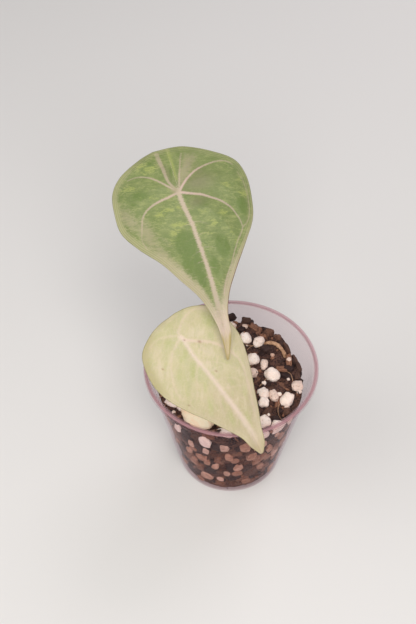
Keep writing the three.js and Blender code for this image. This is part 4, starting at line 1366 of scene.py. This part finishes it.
def build_stone():
    """A ball swollen by noise of three sizes, stretched, turned and placed."""
    draw = seeded_draw(STONE_SEED)
    points, faces = ball(5)
    seed = Vector([draw(0, 50) for _ in range(3)])
    swell = [
        1 + sum(depth * noise.noise(Vector(point) * size + seed) for depth, size in STONE_SWELL)
        for point in points
    ]
    shaped = points * np.array(swell)[:, None] * np.array(STONE_HALF) * 0.97
    shaped = turned_by(shaped, (0, 0, STONE_TURN)) + np.array(STONE_CENTRE)
    piece = add_piece("stone_pale", "pale_stone", shaped, faces, stone_material())
    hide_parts("pale_stone")


def build_surface_root(material):
    """A flattened dry root with slight knuckles."""
    def radius_at(share, angle):
        knuckles = 0.08 * math.sin(26 * share) + 0.05 * math.sin(61 * share)
        flattened = 1 - 0.25 * math.sin(angle) ** 2
        return SURFACE_ROOT_RADIUS * (1.05 - 0.3 * share + knuckles) * flattened

    path = spline(SURFACE_ROOT_PATH, np.linspace(0, 1, 80))
    points, faces = swept(path, radius_at, 20)
    piece = add_piece("root_on_surface", "surface_root", points, faces, material)
    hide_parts("surface_root")


def corm_body():
    """Ringed corm with a flat crown."""
    bottom = CORM_TOP - CORM_HEIGHT
    outline = [(0, 0), (0.6, 1.1), (0.95, 4.2), (1, 8.4), (0.95, CORM_HEIGHT - 1)]
    outline = [(share * CORM_RADIUS, bottom + rise) for share, rise in outline]
    curve = spline(outline, np.linspace(0, 1, 40))
    profile = [(radius * (1 + 0.012 * math.sin(4 * z)), z) for radius, z in curve]
    profile[0] = (0, bottom)
    profile += [(CORM_RADIUS * 0.9, CORM_TOP - 0.3), (CORM_RADIUS * 0.84, CORM_TOP), (0, CORM_TOP)]
    return turned(profile, 48)


def corm_root(angle, bend, length):
    """A fleshy root that comes out of the corm's foot and curls down round the axis."""
    bottom = CORM_TOP - CORM_HEIGHT
    stations = [
        (2, 0, 5), (5.5, 0, 1), (8.6, bend * 0.3, -0.3 * length),
        (8.8, bend * 0.7, -0.7 * length), (7, bend, -length),
    ]
    path = [(*polar(radius, angle + turn), bottom + rise) for radius, turn, rise in stations]
    path = spline(path, np.linspace(0, 1, 40))
    return swept(path, lambda share, _: ROOT_RADIUS * (1.1 - 0.6 * share), 14)


def build_corm():
    draw = seeded_draw(CORM_SEED)
    parts = [corm_body()]
    for index in range(ROOT_COUNT):
        angle = index * FULL_TURN / ROOT_COUNT + draw(-0.2, 0.2)
        parts.append(corm_root(angle, draw(0.3, 0.9), draw(10, 15)))
    piece = add_piece("corm_with_roots", "corm", *joined(parts), corm_material())
    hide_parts("corm_and_roots")


def leaf_matrix(leaf):
    """Turn from the leaf's own axes to the pot's: roll, then pitch down, then heading."""
    turn = Euler([math.radians(leaf[key]) for key in ("roll", "pitch", "heading")], "XYZ")
    return np.array(turn.to_matrix())


def nearest_gap(samples, points):
    """Distance from each point to the nearest sample, and which sample that is."""
    tree = kdtree.KDTree(len(samples))
    for index, (x, y) in enumerate(samples):
        tree.insert((x, y, 0), index)
    tree.balance()
    gaps = np.empty(len(points))
    found = np.empty(len(points), int)
    for index, (x, y) in enumerate(points):
        _, found[index], gaps[index] = tree.find((x, y, 0))
    return gaps, found


def polyline_gap(x, y, line):
    """Distance from each place to a line of straight stretches, as the solid's relief uses."""
    gap = np.full(x.shape, 1e9)
    for (ax, ay), (bx, by) in zip(line[:-1], line[1:]):
        dx = bx - ax
        dy = by - ay
        share = np.clip(((x - ax) * dx + (y - ay) * dy) / (dx * dx + dy * dy), 0, 1)
        gap = np.minimum(gap, np.hypot(x - ax - share * dx, y - ay - share * dy))
    return gap


def bell(value, half_width):
    """1 where the value is 0, falling off to both sides."""
    return np.exp(-((value / half_width) ** 2))


def blade_height(leaf, x, y, across, from_edge):
    """Height of the blade's upper face above the hub's own plane."""
    bend = np.where(x < 0, leaf["back_bend"], leaf["tip_bend"]) * x * x
    beak = ease(leaf["beak_start"], leaf["beak_start"] + 10, x)
    gaps = [np.abs(across)] + [polyline_gap(x, y, vein) for vein in leaf["relief_veins"]]
    rise = 1 - bell(np.min(gaps, axis=0), VEIN_REACH)
    puff = leaf["puff"] * rise * ease(0, 5, from_edge)
    return leaf["beak_fold"] * beak * np.abs(across) + puff - bend - leaf["side_bend"] * across**2


def vein_fields(veins, places):
    """Distance past the edge of the nearest vein, and that vein's strength, for each place."""
    shares = np.linspace(0, 1, 400)
    samples = np.vstack([spline(line, shares) for line, *_ in veins])
    widths = np.concatenate([start + (end - start) * shares for _, start, end, *_ in veins])
    strengths = np.concatenate([start + (end - start) * shares for *_, start, end in veins])
    gaps, found = nearest_gap(samples, places)
    return gaps - 0.5 * widths[found], strengths[found]


def blade_grid(leaf):
    """Places in rows from the back margin to the tip and in columns from margin to margin, with
    each one's distance from the midrib, and its row's reach on that side."""
    u = np.linspace(0, 1, leaf["row_count"] + 1)
    t = 0.72 * u + 0.28 * (1 - np.cos(math.pi * u)) / 2
    left, mid, right = (spline([row[index] for row in leaf["rows"]], t) for index in range(3))
    k = np.linspace(0, 1, leaf["column_count"] + 1)
    shares = 0.45 * k + 0.55 * np.sin(0.5 * math.pi * k)
    signed = np.concatenate([-shares[:0:-1], shares])
    edges = [left if share < 0 else right for share in signed]
    places = [mid + (edge - mid) * abs(share) for edge, share in zip(edges, signed)]
    reach = np.stack([np.hypot(*(edge - mid).T) for edge in edges], axis=1)
    return np.stack(places, axis=1), np.abs(signed) * reach, reach


def rim_of(places):
    """True on the grid's outermost rows and columns, as one long list."""
    is_rim = np.ones(places.shape[:2], bool)
    is_rim[1:-1, 1:-1] = False
    return is_rim.ravel()


def blade_fields(leaf, places):
    """The photo's midrib, veins and margin, as distances for each place on the blade."""
    flat = places.reshape(-1, 2)
    dense = np.linspace(0, 1, 1500)
    margins = [spline([row[side] for row in leaf["rows"]], dense) for side in (0, 2)]
    edge_gap, _ = nearest_gap(np.vstack([*margins, places[0], places[-1]]), flat)
    edge_gap[rim_of(places)] = 0
    mid_line = spline(leaf["midrib"], np.linspace(0, 1, 1200))
    mid_gap, found = nearest_gap(mid_line, flat)
    side = np.where(flat[:, 1] > mid_line[found][:, 1], 1, -1)
    vein_gap, strength = vein_fields(leaf["veins"], flat)
    return mid_gap, {
        "mid_side": np.where(flat[:, 0] > -0.8, mid_gap * side, 4 * side),
        "vein_gap": vein_gap, "vein_strength": strength, "edge_gap": edge_gap,
    }


def blade_relief(flat, mid_gap, fields):
    """Heights of both faces about the blade's middle: veins sunk above and raised below, faded at
    the hub where the petiole joins, and the whole skin slightly quilted."""
    edge_gap = fields["edge_gap"]
    grow = ease(2.5, 7, np.hypot(*flat.T))
    fade = 1 - 0.7 * ease(10, 60, np.abs(flat[:, 0]))
    vein_line = bell(np.maximum(fields["vein_gap"], 0), VEIN_HALF_WIDTH) * fields["vein_strength"]
    groove = RIB_GROOVE * bell(mid_gap, RIB_GROOVE_HALF_WIDTH) * grow * fade
    groove += VEIN_GROOVE * vein_line * grow * ease(0.5, 2, edge_gap)
    rib = RIB_DEPTH * bell(mid_gap, RIB_HALF_WIDTH) * grow * fade + VEIN_DEPTH * vein_line * grow
    rib *= ease(0.1, 1.4, edge_gap)
    rounding = np.sqrt(np.maximum(0, 1 - (1 - np.clip(edge_gap / EDGE_ROUNDING, 0, 1)) ** 2))
    body = 0.5 * (BLADE_THICKNESS - BLADE_MARGIN_THINNING) * rounding
    quilt = []
    for x, y in flat:
        coarse = noise.noise(Vector((x * 0.5, y * 0.8, 3.3)))
        quilt.append(coarse + 0.5 * noise.noise(Vector((x * 1.3, y * 1.7, 9.1))))
    quilt = QUILT * np.array(quilt) * ease(0.3, 2.5, edge_gap)
    return body - groove + quilt, quilt - body - rib


def grid_corners(index, corners):
    """Four point numbers for each cell of a grid, corners given as (row, column) from its first."""
    rows, columns = index.shape
    picked = [index[row:rows - 1 + row, column:columns - 1 + column] for row, column in corners]
    return np.stack([numbers.ravel() for numbers in picked], axis=1)


def blade_mesh(leaf):
    """Upper and lower faces of a blade that meet in a rounded edge, with its fields."""
    places, across, reach = blade_grid(leaf)
    flat = places.reshape(-1, 2)
    mid_gap, fields = blade_fields(leaf, places)
    top = blade_height(leaf, *flat.T, across.ravel(), (reach - across).ravel())
    middle = top - 0.5 * BLADE_THICKNESS
    turn = leaf_matrix(leaf)
    upper, lower = (
        np.column_stack([flat, middle + face]) @ turn.T + np.array(leaf["hub"])
        for face in blade_relief(flat, mid_gap, fields)
    )

    # The lower face has points of its own all over but at the rim
    is_rim = rim_of(places)
    inner = np.where(~is_rim)[0]
    upper_index = np.arange(len(flat)).reshape(across.shape)
    lower_index = upper_index.copy()
    lower_index.flat[inner] = len(flat) + np.arange(len(inner))
    corners = [(0, 0), (1, 0), (1, 1), (0, 1)]
    quads = [grid_corners(upper_index, corners), grid_corners(lower_index, corners[:1] + corners[:0:-1])]
    faces = np.stack(quads, axis=1).reshape(-1, 4).tolist()
    fields = {name: np.append(values, values[inner]) for name, values in fields.items()}
    fields["under"] = np.append(0.5 * is_rim, np.ones(len(inner)))
    return np.vstack([upper, lower[inner]]), faces, fields, np.vstack([flat, flat[inner]])


def blot(x, y, centre, size, turn=0):
    """Soft oval spot that fades from 1 at its middle to 0."""
    angle = math.radians(turn)
    dx = x - centre[0]
    dy = y - centre[1]
    along = dx * math.cos(angle) + dy * math.sin(angle)
    across = -dx * math.sin(angle) + dy * math.cos(angle)
    return np.exp(-((along / size[0]) ** 2 + (across / size[1]) ** 2))


def zone(x, y, spots):
    """Strongest of several oval spots at each place."""
    return np.max([s * blot(x, y, (px, py), (a, b), turn) for px, py, a, b, turn, s in spots], axis=0)


def upper_fields(x, y, edge):
    """Where the upper blade's margin, neck and beak change, as shares for its material."""
    left = ease(2, -2, y)
    left_side = left * ease(-16, -10, x)
    margin_reach = 0.5 + 0.5 * ease(4, 22, x) + 1.3 * ease(20, 34, x) + left
    margin_share = 0.3 + 0.25 * ease(-6, 12, x) + 0.3 * ease(18, 36, x)
    from_neck = y - 2.2
    olive_gap = edge / np.maximum(edge + np.abs(y - 1.9 + 0.13 * (x - 52)), 0.05)
    olive = np.maximum(ease(0.5, 0.2, olive_gap), ease(62, 65, x))
    return {
        "mid_half": 0.5 * (1.75 - 0.2 * ease(2, 24, x) + 0.6 * ease(30, 46, x)),
        "hub_zone": 0.75 * blot(x, y, (0, -1.2), (1.4, 1.6)),
        "calm_zone": 0.7 * np.maximum(blot(x, y, (-1, 9), (5, 7)), blot(x, y, (-11, 8), (5, 7))),
        "stripe_zone": 0.85 * bell(polyline_gap(x, y, UPPER_STRIPE), 0.25 + 0.035 * np.abs(x)),
        "margin_reach": margin_reach + left_side * (0.3 + 0.9 * ease(38, 28, x)),
        "margin_share": margin_share + 0.35 * left_side * ease(16, 4, x),
        "pink_zone": ease(8, 34, x),
        "line_share": 0.34 + 0.3 * left * ease(-10, 4, x),
        "neck_zone": ease(35, 57, x + np.abs(from_neck) + 0.6 * from_neck) * ease(26, 40, x),
        "olive_zone": 0.85 * ease(54, 58, x) * olive,
        "beak_zone": ease(43, 53, x),
        "beak_end": 0.75 * ease(54.5, 59, x),
        "rim_zone": 0.9 * ease(22, 34, x) * ease(56, 50, x) * (y > 2),
    }


def lower_fields(x, y, edge):
    """Where the lower blade's rib, margin and tip change, as shares for its material."""
    left = ease(-7, -13, y) * ease(20, 10, x)
    return {
        "mid_half": 0.5 * (1.2 + 0.8 * ease(24, 44, x)),
        "margin_share": 0.3 + 0.45 * (y > 2) * ease(4, 18, x),
        "shade_zone": 0.75 * left * ease(4.2, 0.8, edge),
        "tip_zone": 0.7 * ease(48, 54, x),
        "blush_zone": 0.5 * ease(16, 34, x),
        "rib_share": 0.88 - 0.35 * ease(32, 50, x),
    }


def build_blade(name, node, slot, leaf, own_fields, material):
    """A blade, with all that its material reads at each point."""
    points, faces, fields, place = blade_mesh(leaf)
    fields |= own_fields(*place.T, fields["edge_gap"])
    fields |= {f"{key}_zone": zone(*place.T, spots) for key, spots in leaf["zones"].items()}
    piece = add_piece(name, slot, points, faces, material)
    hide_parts(node)
    for key, values in fields.items():
        add_values(piece, key, values)
    add_vectors(piece, "leaf_place", np.column_stack([place, np.zeros(len(place))]))


def build_petiole(name, node, leaf, petiole, material):
    """Round stalk, sheathed and grooved towards its base, spreading where it meets the blade."""
    normal = leaf_matrix(leaf)[:, 2]
    seat = np.array(leaf["hub"]) - normal * (BLADE_THICKNESS - 0.15)
    path = spline([*petiole["path"], tuple(seat)], np.linspace(0, 1, PETIOLE_RINGS))
    slim = petiole["top_radius"]

    def radius_at(share, angle):
        swell = (petiole["base_radius"] - slim) * (1 - ease(0, 0.45, share))
        flare = slim * (HUB_FLARE - 1) * ease(0.9, 1, share) ** 1.5
        off = angle - math.pi
        relief = 0.1 * bell(abs(off) - 0.75, 0.3) - 0.16 * bell(off, 0.35)
        sheath = relief * (1 - ease(0.1, 0.5, share))
        return (slim + swell + flare) * (0.98 + sheath + 0.012 * math.sin(9 * angle))

    points, faces = swept(path, radius_at, PETIOLE_SIDES, (seat, normal))
    piece = add_piece(name, "petiole", points, faces, material)
    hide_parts(node)
    shares = np.repeat(np.linspace(0, 1, PETIOLE_RINGS), PETIOLE_SIDES)
    add_values(piece, "stalk_share", np.append(shares, [0, 1]))


def build_floor():
    corners = [(-1, -1, 0), (1, -1, 0), (1, 1, 0), (-1, 1, 0)]
    mesh = bpy.data.meshes.new("floor")
    mesh.from_pydata((FLOOR_HALF * np.array(corners)).tolist(), [], [(0, 1, 2, 3)])
    mesh.materials.append(floor_material())
    add_object("floor", mesh)


def build_lights():
    """Soft rectangular lamps and a faint even sky."""
    for name, place, size, power, colour in LAMPS:
        light = bpy.data.lights.new(name, "AREA")
        light.shape = "RECTANGLE"
        light.size, light.size_y = size
        light.energy = power
        light.color = colour
        lamp = add_object(name, light)
        lamp.location = place
        aim = Vector(LAMP_TARGET) - Vector(place)
        lamp.rotation_euler = aim.to_track_quat("-Z", "Y").to_euler()
    world = bpy.data.worlds.new("studio")
    bpy.context.scene.world = world
    world.use_nodes = True
    sky = world.node_tree.nodes["Background"]
    sky.inputs["Color"].default_value = SKY_COLOUR
    sky.inputs["Strength"].default_value = SKY_STRENGTH


def build_camera():
    """The camera at the photo's angle."""
    camera = bpy.data.cameras.new("camera")
    camera.lens = CAMERA_LENS
    camera.sensor_width = CAMERA_SENSOR
    camera.clip_start = CAMERA_NEAR
    eye = add_object("camera", camera)
    eye.location = Vector(CAMERA_PLACE) * MM
    eye.rotation_euler = Vector(CAMERA_FORWARD).to_track_quat("-Z", "Y").to_euler()
    bpy.context.scene.camera = eye
    bpy.context.scene.view_settings.view_transform = "Standard"
    bpy.context.scene.cycles.use_denoising = True


build_floor()
build_lights()
build_camera()
build_cup()
build_mix_body()
build_bark()
build_perlite()
build_crumbs()
root_skin = root_material()
build_fibres(root_skin)
build_stone()
build_surface_root(root_skin)
build_corm()
stalk = petiole_material()
build_petiole("stalk_upper", "petiole_upper", UPPER, UPPER_PETIOLE, stalk)
build_petiole("stalk_lower", "petiole_lower", LOWER, LOWER_PETIOLE, stalk)
build_blade("leaf_upper", "blade_upper", "blade_green", UPPER, upper_fields, blade_green_material())
build_blade("leaf_lower", "blade_lower", "blade_cream", LOWER, lower_fields, blade_cream_material())
